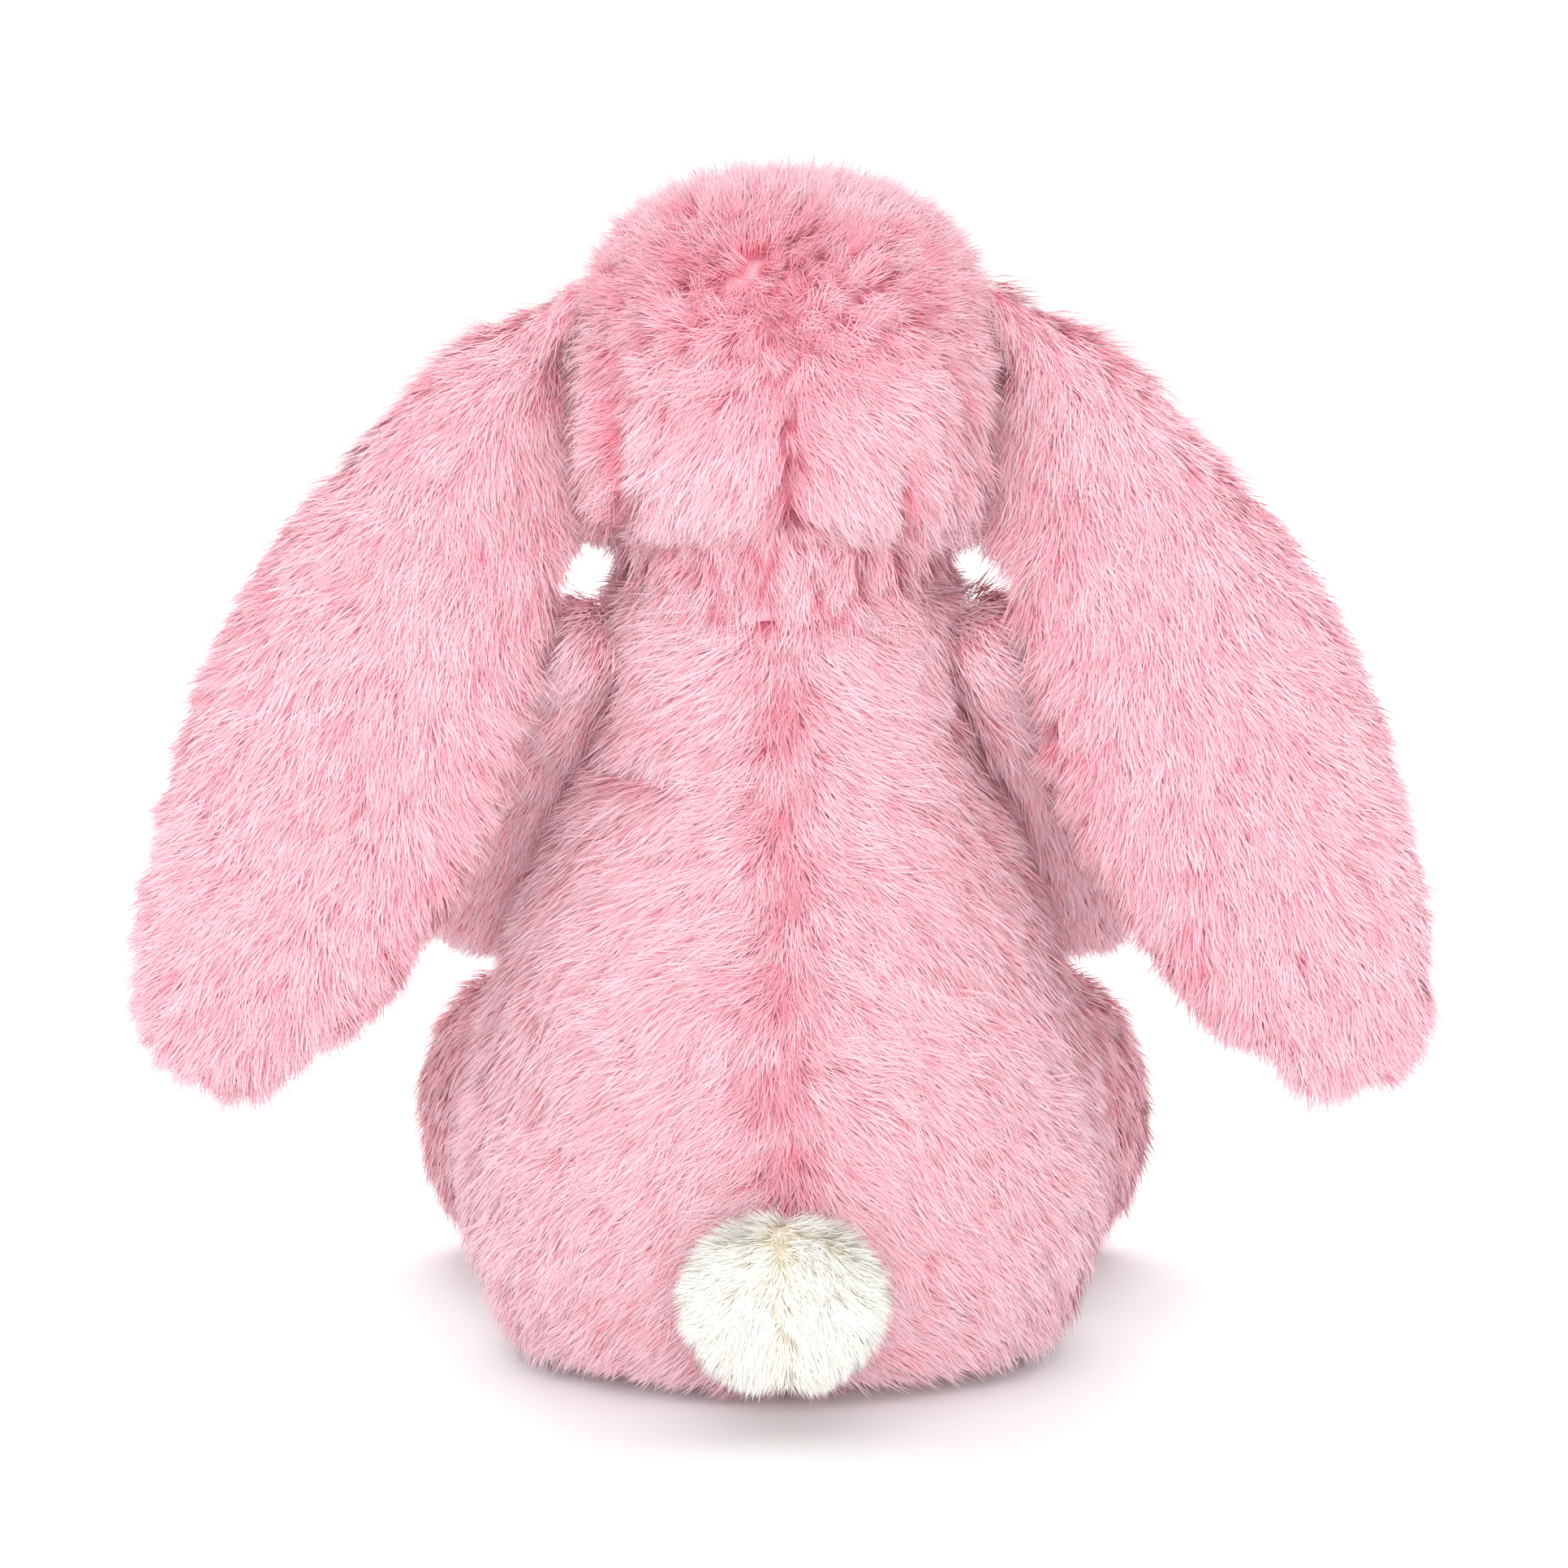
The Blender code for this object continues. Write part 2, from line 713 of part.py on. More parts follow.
def tail_form():
    """A ball, flat where it is sewn on."""
    rings = 7
    sections = []
    for i in range(1, rings + 1):
        turn = math.pi * i / (rings + 1)
        size = math.sin(turn)
        back = TAIL_CENTRE.y - TAIL_DEPTH / 2 * math.cos(turn)
        sections.append(
            Section(
                Vector((0, back, TAIL_CENTRE.z)),
                Vector((size * TAIL_WIDTH / 2, 0, 0)),
                Vector((0, 0, size * TAIL_HEIGHT / 2)),
            )
        )
    first = TAIL_CENTRE - Vector((0, TAIL_DEPTH / 2, 0))
    last = TAIL_CENTRE + Vector((0, TAIL_DEPTH / 2, 0))
    return loft([s.ring(LIMB_COLUMNS) for s in sections], first, last)


def build_tail():
    root = pivot("tail_pivot", TAIL_ROOT)
    for side, sign in (("left", 1), ("right", -1)):
        plush_panel(
            f"tail_half_{side}",
            tail_form(),
            lambda p, sign=sign: p.x * sign > 0,
            "white_plush",
            root,
            0.0030,
        )
    stuffing("tail_stuffing", tail_form(), root, 0.0030)


def main():
    clear_scene()
    build_torso()
    head = build_head(build_neck())
    for side, sign in (("left", 1), ("right", -1)):
        build_ear(side, sign, head)
        build_arm(side, sign)
        build_leg(side, sign)
    build_tail()


main()
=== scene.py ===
import json
import math

import bpy
import numpy as np
from mathutils import Euler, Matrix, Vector

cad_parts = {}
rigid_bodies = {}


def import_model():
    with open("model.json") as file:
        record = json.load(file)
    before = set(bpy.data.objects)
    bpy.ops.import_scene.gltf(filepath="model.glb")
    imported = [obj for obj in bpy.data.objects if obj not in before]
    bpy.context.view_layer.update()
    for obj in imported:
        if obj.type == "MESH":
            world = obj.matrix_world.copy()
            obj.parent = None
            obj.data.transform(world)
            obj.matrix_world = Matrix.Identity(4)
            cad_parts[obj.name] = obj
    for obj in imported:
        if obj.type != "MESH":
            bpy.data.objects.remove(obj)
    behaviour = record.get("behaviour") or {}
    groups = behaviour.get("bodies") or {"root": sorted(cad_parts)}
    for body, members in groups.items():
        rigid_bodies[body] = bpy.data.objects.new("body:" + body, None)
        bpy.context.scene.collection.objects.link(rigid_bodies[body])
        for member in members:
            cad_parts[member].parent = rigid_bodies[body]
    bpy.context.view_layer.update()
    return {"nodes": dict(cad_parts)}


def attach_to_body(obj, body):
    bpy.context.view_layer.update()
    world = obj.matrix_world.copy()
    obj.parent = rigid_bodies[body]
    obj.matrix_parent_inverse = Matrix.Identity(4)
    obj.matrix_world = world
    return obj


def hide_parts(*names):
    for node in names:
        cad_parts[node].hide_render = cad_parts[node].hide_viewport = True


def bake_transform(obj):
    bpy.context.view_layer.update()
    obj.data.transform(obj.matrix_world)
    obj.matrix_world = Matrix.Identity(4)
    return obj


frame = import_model()


def deselectAll():
    if bpy.context.object and bpy.context.object.mode != "OBJECT":
        bpy.ops.object.mode_set(mode="OBJECT")
    bpy.ops.object.select_all(action="DESELECT")


def pick(*objs):
    deselectAll()
    for obj in objs:
        obj.select_set(True)
    bpy.context.view_layer.objects.active = objs[-1]


def applyAll(obj):
    pick(obj)
    for modifier in list(obj.modifiers):
        bpy.ops.object.modifier_apply(modifier=modifier.name)


def readVerts(obj):
    points = np.empty(len(obj.data.vertices) * 3)
    obj.data.vertices.foreach_get("co", points)
    return points.reshape(-1, 3)


def readNormals(obj):
    normals = np.empty(len(obj.data.vertices) * 3, dtype=np.float32)
    obj.data.vertex_normals.foreach_get("vector", normals)
    return normals.reshape(-1, 3).astype(float)


def writeVerts(obj, points):
    obj.data.vertices.foreach_set("co", points.astype(np.float32).ravel())
    obj.data.update()


def storeValue(obj, name, values):
    kind = "FLOAT_VECTOR" if values.ndim == 2 else "FLOAT"
    attribute = obj.data.attributes.new(name, kind, "POINT")
    attribute.data.foreach_set("vector" if values.ndim == 2 else "value", values.astype(np.float32).ravel())


def unit(v):
    return v / np.maximum(np.linalg.norm(v, axis=1, keepdims=True), 1e-9)


def rise(x, low, high):
    t = np.clip((x - low) / (high - low), 0, 1)
    return t * t * (3 - 2 * t)


cameraLook = {
    "lens": 110,
    "sensor": 36,
    "distance": 0.868,
    "elevation": 8.5,
    "target": (0.0, 0.0, 0.1055),
}


def makeCamera():
    tilt = math.radians(cameraLook["elevation"])
    target = Vector(cameraLook["target"])
    back = Vector((0, math.cos(tilt), math.sin(tilt))) * cameraLook["distance"]
    bpy.ops.object.camera_add(location=target + back)
    camera = bpy.context.object
    camera.name = "studioCamera"
    camera.rotation_euler = (-back).to_track_quat("-Z", "Y").to_euler()
    camera.data.lens = cameraLook["lens"]
    camera.data.sensor_width = cameraLook["sensor"]
    camera.data.clip_start = 0.01
    bpy.context.scene.camera = camera


makeCamera()
print("camera placed")

# the darker root and deep colours are partly the plush's own colour and partly painted shade down between
# the locks
pinkPlush = {
    "root": (0.83, 0.22, 0.31, 1),
    "low": (0.85, 0.39, 0.47, 1),
    "tip": (0.87, 0.65, 0.71, 1),
    "deepRoot": (0.78, 0.11, 0.19, 1),
    "deepLow": (0.82, 0.20, 0.28, 1),
    "deepTip": (0.85, 0.38, 0.46, 1),
    "roughness": 0.8,
    "sheen": 0.04,
    "sheenTint": (1.0, 0.80, 0.86, 1),
    "specular": 0.12,
}

# the yellower, darker roots are partly the tail fur's own colour and partly painted shade down between the
# locks
whitePlush = {
    "root": (0.84, 0.79, 0.64, 1),
    "low": (0.89, 0.88, 0.81, 1),
    "tip": (0.925, 0.925, 0.895, 1),
    "deepRoot": (0.70, 0.60, 0.38, 1),
    "deepLow": (0.87, 0.82, 0.66, 1),
    "deepTip": (0.95, 0.93, 0.86, 1),
    "roughness": 0.8,
    "sheen": 0.1,
    "sheenTint": (1.0, 1.0, 0.97, 1),
    "specular": 0.12,
}


def newMaterial(name, look):
    material = bpy.data.materials.new(name)
    material.use_nodes = True
    shader = material.node_tree.nodes["Principled BSDF"]
    shader.inputs["Roughness"].default_value = look["roughness"]
    shader.inputs["Sheen Weight"].default_value = look.get("sheen", 0)
    shader.inputs["Sheen Roughness"].default_value = look.get("sheenRoughness", 0.5)
    shader.inputs["Sheen Tint"].default_value = look.get("sheenTint", (1, 1, 1, 1))
    shader.inputs["Specular IOR Level"].default_value = look.get("specular", 0.3)
    return material, shader


def addRamp(tree, stops, source):
    ramp = tree.nodes.new("ShaderNodeValToRGB")
    ramp.color_ramp.elements[0].position = stops[0][0]
    ramp.color_ramp.elements[0].color = stops[0][1]
    ramp.color_ramp.elements[1].position = stops[-1][0]
    ramp.color_ramp.elements[1].color = stops[-1][1]
    for position, colour in stops[1:-1]:
        ramp.color_ramp.elements.new(position).color = colour
    tree.links.new(source, ramp.inputs["Fac"])
    return ramp.outputs["Color"]


# along each hair from root to tip, deeper where the strand's tone and painted shade say so; the darker
# roots are partly the fibre's own colour and partly painted shade between the locks
def pileMaterial(name, look):
    material, shader = newMaterial(name, look)
    tree = material.node_tree
    strand = tree.nodes.new("ShaderNodeUVMap")
    strand.uv_map = "OFBake"
    split = tree.nodes.new("ShaderNodeSeparateXYZ")
    tree.links.new(strand.outputs["UV"], split.inputs["Vector"])
    along = split.outputs["X"]
    paleStops = ((0.05, look["root"]), (0.38, look["low"]), (0.78, look["tip"]))
    deepStops = ((0.05, look["deepRoot"]), (0.42, look["deepLow"]), (0.88, look["deepTip"]))
    pale = addRamp(tree, paleStops, along)
    deep = addRamp(tree, deepStops, along)
    blend = tree.nodes.new("ShaderNodeMix")
    blend.data_type = "RGBA"
    tree.links.new(split.outputs["Y"], blend.inputs[0])
    tree.links.new(pale, blend.inputs[6])
    tree.links.new(deep, blend.inputs[7])
    tree.links.new(blend.outputs[2], shader.inputs["Base Color"])
    return material


# the knitted backing under the pile
def backingMaterial(name, dark, light):
    material, shader = newMaterial(name, {"roughness": 0.9, "sheen": 0.2})
    tree = material.node_tree
    position = tree.nodes.new("ShaderNodeTexCoord")
    knit = tree.nodes.new("ShaderNodeTexNoise")
    knit.inputs["Scale"].default_value = 900
    knit.inputs["Detail"].default_value = 3
    tree.links.new(position.outputs["Object"], knit.inputs["Vector"])
    colour = addRamp(tree, ((0.3, dark), (0.7, light)), knit.outputs["Fac"])
    tree.links.new(colour, shader.inputs["Base Color"])
    bump = tree.nodes.new("ShaderNodeBump")
    bump.inputs["Strength"].default_value = 0.5
    bump.inputs["Distance"].default_value = 0.0004
    tree.links.new(knit.outputs["Fac"], bump.inputs["Height"])
    tree.links.new(bump.outputs["Normal"], shader.inputs["Normal"])
    return material


pinkPile = pileMaterial("pinkPile", pinkPlush)
whitePile = pileMaterial("whitePile", whitePlush)
pinkBacking = backingMaterial("pinkBacking", (0.85, 0.38, 0.47, 1), (0.89, 0.50, 0.58, 1))
whiteBacking = backingMaterial("whiteBacking", (0.70, 0.62, 0.45, 1), (0.82, 0.76, 0.60, 1))
print("materials made")

skinLook = {
    "weld": 0.00001,
    "voxel": 0.0034,
    "smoothing": 4,
    "pressure": 2.0,
    "clothQuality": 4,
    "frames": 12,
}


# a padded form: copies of the sewn panels made one mesh, drawn in, then puffed up by their stuffing
def makeSkin(name, nodes, drawIn, swell):
    deselectAll()
    for node in nodes:
        frame["nodes"][node].select_set(True)
    bpy.context.view_layer.objects.active = frame["nodes"][nodes[0]]
    bpy.ops.object.duplicate()
    copies = list(bpy.context.selected_objects)
    for copy in copies:
        for key in list(copy.keys()):
            del copy[key]
    bpy.ops.object.parent_clear(type="CLEAR_KEEP_TRANSFORM")
    pick(*copies)
    if len(copies) > 1:
        bpy.ops.object.join()
    skin = bpy.context.object
    skin.name = name
    skin.data.name = name
    bpy.ops.object.mode_set(mode="EDIT")
    bpy.ops.mesh.select_all(action="SELECT")
    bpy.ops.mesh.remove_doubles(threshold=skinLook["weld"])
    bpy.ops.object.mode_set(mode="OBJECT")
    remesh = skin.modifiers.new("closeSeams", "REMESH")
    remesh.mode = "VOXEL"
    remesh.voxel_size = skinLook["voxel"]
    applyAll(skin)
    skin = keepOutside(skin)
    skin.name = name
    skin.data.name = name
    smooth = skin.modifiers.new("soften", "SMOOTH")
    smooth.iterations = skinLook["smoothing"]
    smooth.factor = 0.5
    inward = skin.modifiers.new("drawIn", "DISPLACE")
    inward.mid_level = 0
    inward.strength = -drawIn
    applyAll(skin)
    if swell > 0:
        puffUp(skin, swell)
    rounder = skin.modifiers.new("rounder", "SUBSURF")
    rounder.levels = rounder.render_levels = 1
    applyAll(skin)
    bpy.ops.object.shade_smooth()
    return skin


# the voxel shell can leave a cavity between panel and stuffing: only the outer surface is kept
def keepOutside(skin):
    pick(skin)
    bpy.ops.object.mode_set(mode="EDIT")
    bpy.ops.mesh.select_all(action="SELECT")
    bpy.ops.mesh.separate(type="LOOSE")
    bpy.ops.object.mode_set(mode="OBJECT")
    parts = list(bpy.context.selected_objects)
    largest = max(parts, key=lambda p: p.dimensions.length)
    for part in parts:
        if part is not largest:
            bpy.data.objects.remove(part)
    if largest is not skin:
        pick(largest)
    return largest


def puffUp(skin, swell):
    before = readVerts(skin)
    cloth = skin.modifiers.new("stuffed", "CLOTH")
    cloth.settings.use_pressure = True
    cloth.settings.uniform_pressure_force = skinLook["pressure"]
    cloth.settings.effector_weights.gravity = 0
    cloth.settings.quality = skinLook["clothQuality"]
    cloth.collision_settings.use_collision = False
    cloth.point_cache.frame_end = skinLook["frames"]
    for step in range(1, skinLook["frames"] + 1):
        bpy.context.scene.frame_set(step)
    applyAll(skin)
    bpy.context.scene.frame_set(1)
    after = readVerts(skin)
    move = after - before
    length = np.linalg.norm(move, axis=1, keepdims=True)
    writeVerts(skin, before + move * np.minimum(1, swell / np.maximum(length, 1e-9)))


lockLook = {
    "variants": 5,
    "hairs": 24,
    "length": 0.0092,
    "width": 0.00026,
    "footprint": 0.0020,
    "gather": 0.42,
    "bow": 0.30,
    "bowHalfWay": 0.28,
    "raggedness": 0.12,
    "roll": 0.7,
    "goldenAngle": 2.39996,
    "shortest": 0.72,
    "longest": 1.08,
}

lockShapes = bpy.data.collections.new("lockShapes")
bpy.context.scene.collection.children.link(lockShapes)
shuffle = np.random.default_rng(11)


# one hair: two slim triangles, widest half way up, bowed towards +Y
def makeHair():
    deselectAll()
    look = lockLook
    bpy.ops.mesh.primitive_grid_add(x_subdivisions=1, y_subdivisions=2, size=1)
    hair = bpy.context.object
    hair.name = "hair"
    hair.scale = (look["width"], look["length"], 1)
    hair.rotation_euler = (math.pi / 2, 0, 0)
    hair.location = (0, 0, look["length"] / 2)
    bpy.ops.object.transform_apply(location=True, rotation=True, scale=True)
    for height, bowed in ((0.0, 0.0), (0.5, look["bowHalfWay"]), (1.0, 1.0)):
        bpy.ops.object.mode_set(mode="EDIT")
        bpy.ops.mesh.select_all(action="DESELECT")
        bpy.ops.object.mode_set(mode="OBJECT")
        for vert in hair.data.vertices:
            vert.select = abs(vert.co.z - height * look["length"]) < 0.0001
        bpy.ops.object.mode_set(mode="EDIT")
        bpy.ops.mesh.select_mode(type="VERT")
        bpy.ops.transform.translate(value=(0, look["bow"] * bowed * look["length"], 0))
        if height != 0.5:
            bpy.ops.mesh.merge(type="CENTER")
        bpy.ops.object.mode_set(mode="OBJECT")
    return hair


# a lock: hairs that stand in a small ring and lean together at their tips
def makeLock(index):
    look = lockLook
    hair = makeHair()
    hairs = [hair]
    for _ in range(look["hairs"] - 1):
        pick(hair)
        bpy.ops.object.duplicate()
        hairs.append(bpy.context.object)
    for i, strand in enumerate(hairs):
        turn = i * look["goldenAngle"] + index
        reach = look["footprint"] * math.sqrt((i + 0.5) / look["hairs"])
        foot = Vector((math.cos(turn) * reach, math.sin(turn) * reach, 0))
        ragged = shuffle.normal(0, look["raggedness"], 2)
        lean = Vector((ragged[0], ragged[1], 1)) - foot * look["gather"] / look["length"]
        roll = shuffle.uniform(-look["roll"], look["roll"])
        tilted = Vector((0, 0, 1)).rotation_difference(lean).to_matrix()
        strand.rotation_euler = (tilted @ Euler((0, 0, roll)).to_matrix()).to_euler()
        strand.location = foot
        strand.scale = (1, 1, shuffle.uniform(look["shortest"], look["longest"]))
        shade = shuffle.uniform(0, 1)
        for loop in strand.data.uv_layers[0].data:
            loop.uv.x = shade
    pick(*hairs)
    bpy.ops.object.join()
    lock = bpy.context.object
    bpy.ops.object.transform_apply(location=True, rotation=True, scale=True)
    bpy.ops.object.shade_smooth()
    lock.name = f"lock{index}"
    bpy.context.scene.collection.objects.unlink(lock)
    lockShapes.objects.link(lock)
    return lock


locks = [makeLock(i) for i in range(lockLook["variants"])]
print("locks modelled")


napLook = {
    "broadScale": 70,
    "fineScale": 300,
    "leanSwirl": 1.6,
    "sideSwirl": 1.4,
    "broadTurn": 3.2,
    "fineTurn": 3.6,
    "strayLean": 0.12,
    "strayTurn": 0.2,
    "tuftSwing": 1.6,
    "strayTuft": 0.22,
    "shortest": 0.85,
    "longest": 1.12,
}


# plants a lock at each point of a skin, turned to the skin's own nap, lean, length and cover
def makePlanter():
    look = napLook
    tree = bpy.data.node_groups.new("plantLocks", "GeometryNodeTree")
    face = tree.interface
    face.new_socket("Geometry", in_out="INPUT", socket_type="NodeSocketGeometry")
    for name in ("Spacing", "Density", "Swirl"):
        face.new_socket(name, in_out="INPUT", socket_type="NodeSocketFloat")
    face.new_socket("Seed", in_out="INPUT", socket_type="NodeSocketInt")
    face.new_socket("Geometry", in_out="OUTPUT", socket_type="NodeSocketGeometry")
    add = tree.nodes.new
    join = tree.links.new
    given = add("NodeGroupInput")
    result = add("NodeGroupOutput")

    def reading(name, kind):
        node = add("GeometryNodeInputNamedAttribute")
        node.data_type = kind
        node.inputs["Name"].default_value = name
        return node.outputs["Attribute"]

    def between(low, high, seed):
        node = add("FunctionNodeRandomValue")
        node.data_type = "FLOAT"
        node.inputs[2].default_value = low
        node.inputs[3].default_value = high
        node.inputs["Seed"].default_value = seed
        return node.outputs[1]

    def math2(operation, first, second):
        node = add("ShaderNodeMath")
        node.operation = operation
        for socket, value in zip(node.inputs, (first, second)):
            if isinstance(value, (int, float)):
                socket.default_value = value
            else:
                join(value, socket)
        return node.outputs[0]

    # smooth noise over the surface, as three numbers about zero
    def drift(scale, shift):
        position = add("GeometryNodeInputPosition")
        moved = add("ShaderNodeVectorMath")
        moved.inputs[1].default_value = (shift, shift, shift)
        join(position.outputs[0], moved.inputs[0])
        node = add("ShaderNodeTexNoise")
        node.inputs["Scale"].default_value = scale
        node.inputs["Detail"].default_value = 1
        join(moved.outputs[0], node.inputs["Vector"])
        split = add("ShaderNodeSeparateXYZ")
        join(node.outputs["Color"], split.inputs[0])
        return [math2("SUBTRACT", o, 0.5) for o in split.outputs]

    points = add("GeometryNodeDistributePointsOnFaces")
    points.distribute_method = "POISSON"
    join(given.outputs["Geometry"], points.inputs["Mesh"])
    join(given.outputs["Spacing"], points.inputs["Distance Min"])
    join(given.outputs["Density"], points.inputs["Density Max"])
    join(reading("cover", "FLOAT"), points.inputs["Density Factor"])
    join(given.outputs["Seed"], points.inputs["Seed"])

    stand = add("FunctionNodeAxesToRotation")
    stand.primary_axis = "Z"
    stand.secondary_axis = "Y"
    join(points.outputs["Normal"], stand.inputs["Primary Axis"])
    join(reading("nap", "FLOAT_VECTOR"), stand.inputs["Secondary Axis"])

    def swirled(noise, amount):
        return math2("MULTIPLY", noise, math2("MULTIPLY", given.outputs["Swirl"], amount))

    broad = drift(look["broadScale"], 0.0)
    fine = drift(look["fineScale"], 3.0)
    leaning = math2("MULTIPLY", reading("lean", "FLOAT"), -1)
    leaning = math2("ADD", leaning, swirled(fine[0], look["leanSwirl"]))
    leaning = math2("ADD", leaning, between(-look["strayLean"], look["strayLean"], 1))
    sideways = swirled(fine[1], look["sideSwirl"])
    turning = math2("ADD", swirled(broad[2], look["broadTurn"]), swirled(fine[2], look["fineTurn"]))
    turning = math2("ADD", turning, between(-look["strayTurn"], look["strayTurn"], 2))
    angles = add("ShaderNodeCombineXYZ")
    join(leaning, angles.inputs[0])
    join(sideways, angles.inputs[1])
    join(turning, angles.inputs[2])
    tilt = add("FunctionNodeEulerToRotation")
    join(angles.outputs[0], tilt.inputs[0])
    # the turn about the normal comes first, then the lean
    spin = add("FunctionNodeRotateRotation")
    spin.rotation_space = "LOCAL"
    join(stand.outputs[0], spin.inputs[0])
    join(tilt.outputs[0], spin.inputs[1])

    shapes = add("GeometryNodeCollectionInfo")
    shapes.inputs["Collection"].default_value = lockShapes
    shapes.inputs["Separate Children"].default_value = True
    shapes.inputs["Reset Children"].default_value = True
    tuft = add("GeometryNodeStoreNamedAttribute")
    tuft.data_type = "FLOAT"
    tuft.domain = "POINT"
    tuft.inputs["Name"].default_value = "tuft"
    join(points.outputs["Points"], tuft.inputs["Geometry"])
    swing = math2("MULTIPLY", fine[0], look["tuftSwing"])
    join(math2("ADD", swing, between(-look["strayTuft"], look["strayTuft"], 4)), tuft.inputs["Value"])
    plant = add("GeometryNodeInstanceOnPoints")
    plant.inputs["Pick Instance"].default_value = True
    join(tuft.outputs[0], plant.inputs["Points"])
    join(shapes.outputs[0], plant.inputs["Instance"])
    join(spin.outputs[0], plant.inputs["Rotation"])
    spread = between(look["shortest"], look["longest"], 3)
    join(math2("MULTIPLY", reading("pileLength", "FLOAT"), spread), plant.inputs["Scale"])
    real = add("GeometryNodeRealizeInstances")
    join(plant.outputs[0], real.inputs[0])
    join(real.outputs[0], result.inputs[0])
    return tree


planter = makePlanter()


# pile on part of a skin. comb returns nap, lean, length, tone with painted shade, and cover for each point
# of it
def makePile(name, skin, comb, settings, material):
    pick(skin)
    bpy.ops.object.duplicate()
    pile = bpy.context.object
    for key in list(pile.keys()):
        del pile[key]
    pile.name = name
    pile.data.name = name
    points, normals = readVerts(pile), readNormals(pile)
    nap, lean, length, toneAndShade, cover = comb(points, normals)
    storeValue(pile, "outward", normals)
    nap = nap - normals * np.sum(nap * normals, axis=1, keepdims=True)
    combed = {"nap": unit(nap), "lean": lean, "pileLength": length, "toneAndShade": toneAndShade, "cover": cover}
    for key, values in combed.items():
        storeValue(pile, key, values)
    plant = pile.modifiers.new("plantLocks", "NODES")
    plant.node_group = planter
    for item in planter.interface.items_tree:
        if item.in_out == "INPUT" and item.name in settings:
            plant[item.identifier] = settings[item.name]
    applyAll(pile)
    finishPile(pile, material)
    print(f"{name}: {len(pile.data.polygons)} faces")
    return pile


pileLook = {
    "tuftShare": 0.80,
    "strandShare": 0.25,
    "toneRange": (0.02, 0.96),
    "mapWidth": 0.012,
    "outwardShare": 0.8,
    "ownShare": 0.2,
    "lowest": 0.0003,
}


# every strand shows its front to the outside, whichever way it was rolled
def turnOutwards(mesh, outward):
    count = len(mesh.polygons)
    facing = np.empty(count * 3, dtype=np.float32)
    mesh.polygons.foreach_get("normal", facing)
    start = np.empty(count, dtype=np.int32)
    mesh.polygons.foreach_get("loop_start", start)
    corner = np.empty(len(mesh.loops), dtype=np.int32)
    mesh.loops.foreach_get("vertex_index", corner)
    inward = np.sum(facing.reshape(-1, 3) * outward[corner[start]], axis=1) < 0
    for index in np.nonzero(inward)[0].tolist():
        mesh.polygons[index].flip()
    mesh.update()


# the strand's own map: x runs from root to tip, y is how deep the strand's colour is
def finishPile(pile, material):
    look = pileLook
    mesh = pile.data
    count = len(mesh.loops)
    corner = np.empty(count, dtype=np.int32)
    mesh.loops.foreach_get("vertex_index", corner)
    toneAndShade = np.empty(len(mesh.vertices), dtype=np.float32)
    mesh.attributes["toneAndShade"].data.foreach_get("value", toneAndShade)
    uv = np.empty(count * 2, dtype=np.float32)
    mesh.uv_layers[0].data.foreach_get("uv", uv)
    uv = uv.reshape(-1, 2)
    tuft = np.empty(len(mesh.vertices), dtype=np.float32)
    mesh.attributes["tuft"].data.foreach_get("value", tuft)
    # the colour's depth: the strand's tone with painted shade from seams, crease, darts and whorl, plus the
    # random tone of its lock and of the hair
    depth = toneAndShade[corner] + tuft[corner] * look["tuftShare"] + (uv[:, 0] - 0.5) * look["strandShare"]
    depth = np.clip(depth, *look["toneRange"])
    edge = (np.arange(count) % 2) * look["mapWidth"]
    strandMap = np.column_stack((uv[:, 1], depth + edge)).astype(np.float32)
    mesh.uv_layers[0].name = "OFBake"
    mesh.uv_layers["OFBake"].data.foreach_set("uv", strandMap.ravel())
    # lit as one soft surface: each strand leans on the skin's own normal
    outward = np.empty(len(mesh.vertices) * 3, dtype=np.float32)
    mesh.attributes["outward"].data.foreach_get("vector", outward)
    outward = unit(outward.reshape(-1, 3))
    turnOutwards(mesh, outward)
    soft = unit(outward * look["outwardShare"] + readNormals(pile) * look["ownShare"])
    for key in ("nap", "lean", "pileLength", "toneAndShade", "cover", "outward", "tuft"):
        if key in mesh.attributes:
            mesh.attributes.remove(mesh.attributes[key])
    points = readVerts(pile)
    points[:, 2] = np.maximum(points[:, 2], look["lowest"])
    writeVerts(pile, points)
    mesh.normals_split_custom_set_from_vertices(soft)
    mesh.materials.clear()
    mesh.materials.append(material)


print("planter ready")


# hands a skin or its pile its body in the model: riding one, or else kept where it is with its transform
# applied
def attach(piece, rides=None):
    if rides:
        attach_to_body(piece, rides)
    else:
        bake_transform(piece)


# a skin covered with pile, taking the place of the named parts
def dress(skin, nodes, piles, settings, materials, rides=None):
    backing, strands = materials
    skin.data.materials.clear()
    skin.data.materials.append(backing)
    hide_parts(*nodes)
    attach(skin, rides)
    for name, comb in piles:
        attach(makePile(name, skin, comb, settings, strands), rides)


pink = (pinkBacking, pinkPile)


# a valley along a seam: 1 at its middle
def valley(distance, width):
    return np.exp(-((distance / width) ** 2))


# slow irregular wander along a seam
def wander(z, phase):
    waves = ((0.5, 410, 1.0), (0.3, 930, 2.1), (0.2, 1710, 0.7))
    return sum(share * np.sin(z * pace + phase * shift) for share, pace, shift in waves)


# smooth scattered values over a surface, one column for each direction
def scatter(points, scale, phase):
    x, y, z = (points * scale).T

    def waves(k):
        broad = np.sin(x * 1.7 + 2.3 * y + phase + k) * np.cos(z * 2.1 - 1.3 * x + 1.9 * k)
        narrow = np.sin(3.1 * z + 2.7 * x - 1.1 * y + 2.3 * k + phase)
        return broad + 0.6 * narrow

    return np.column_stack([waves(k) for k in range(3)])


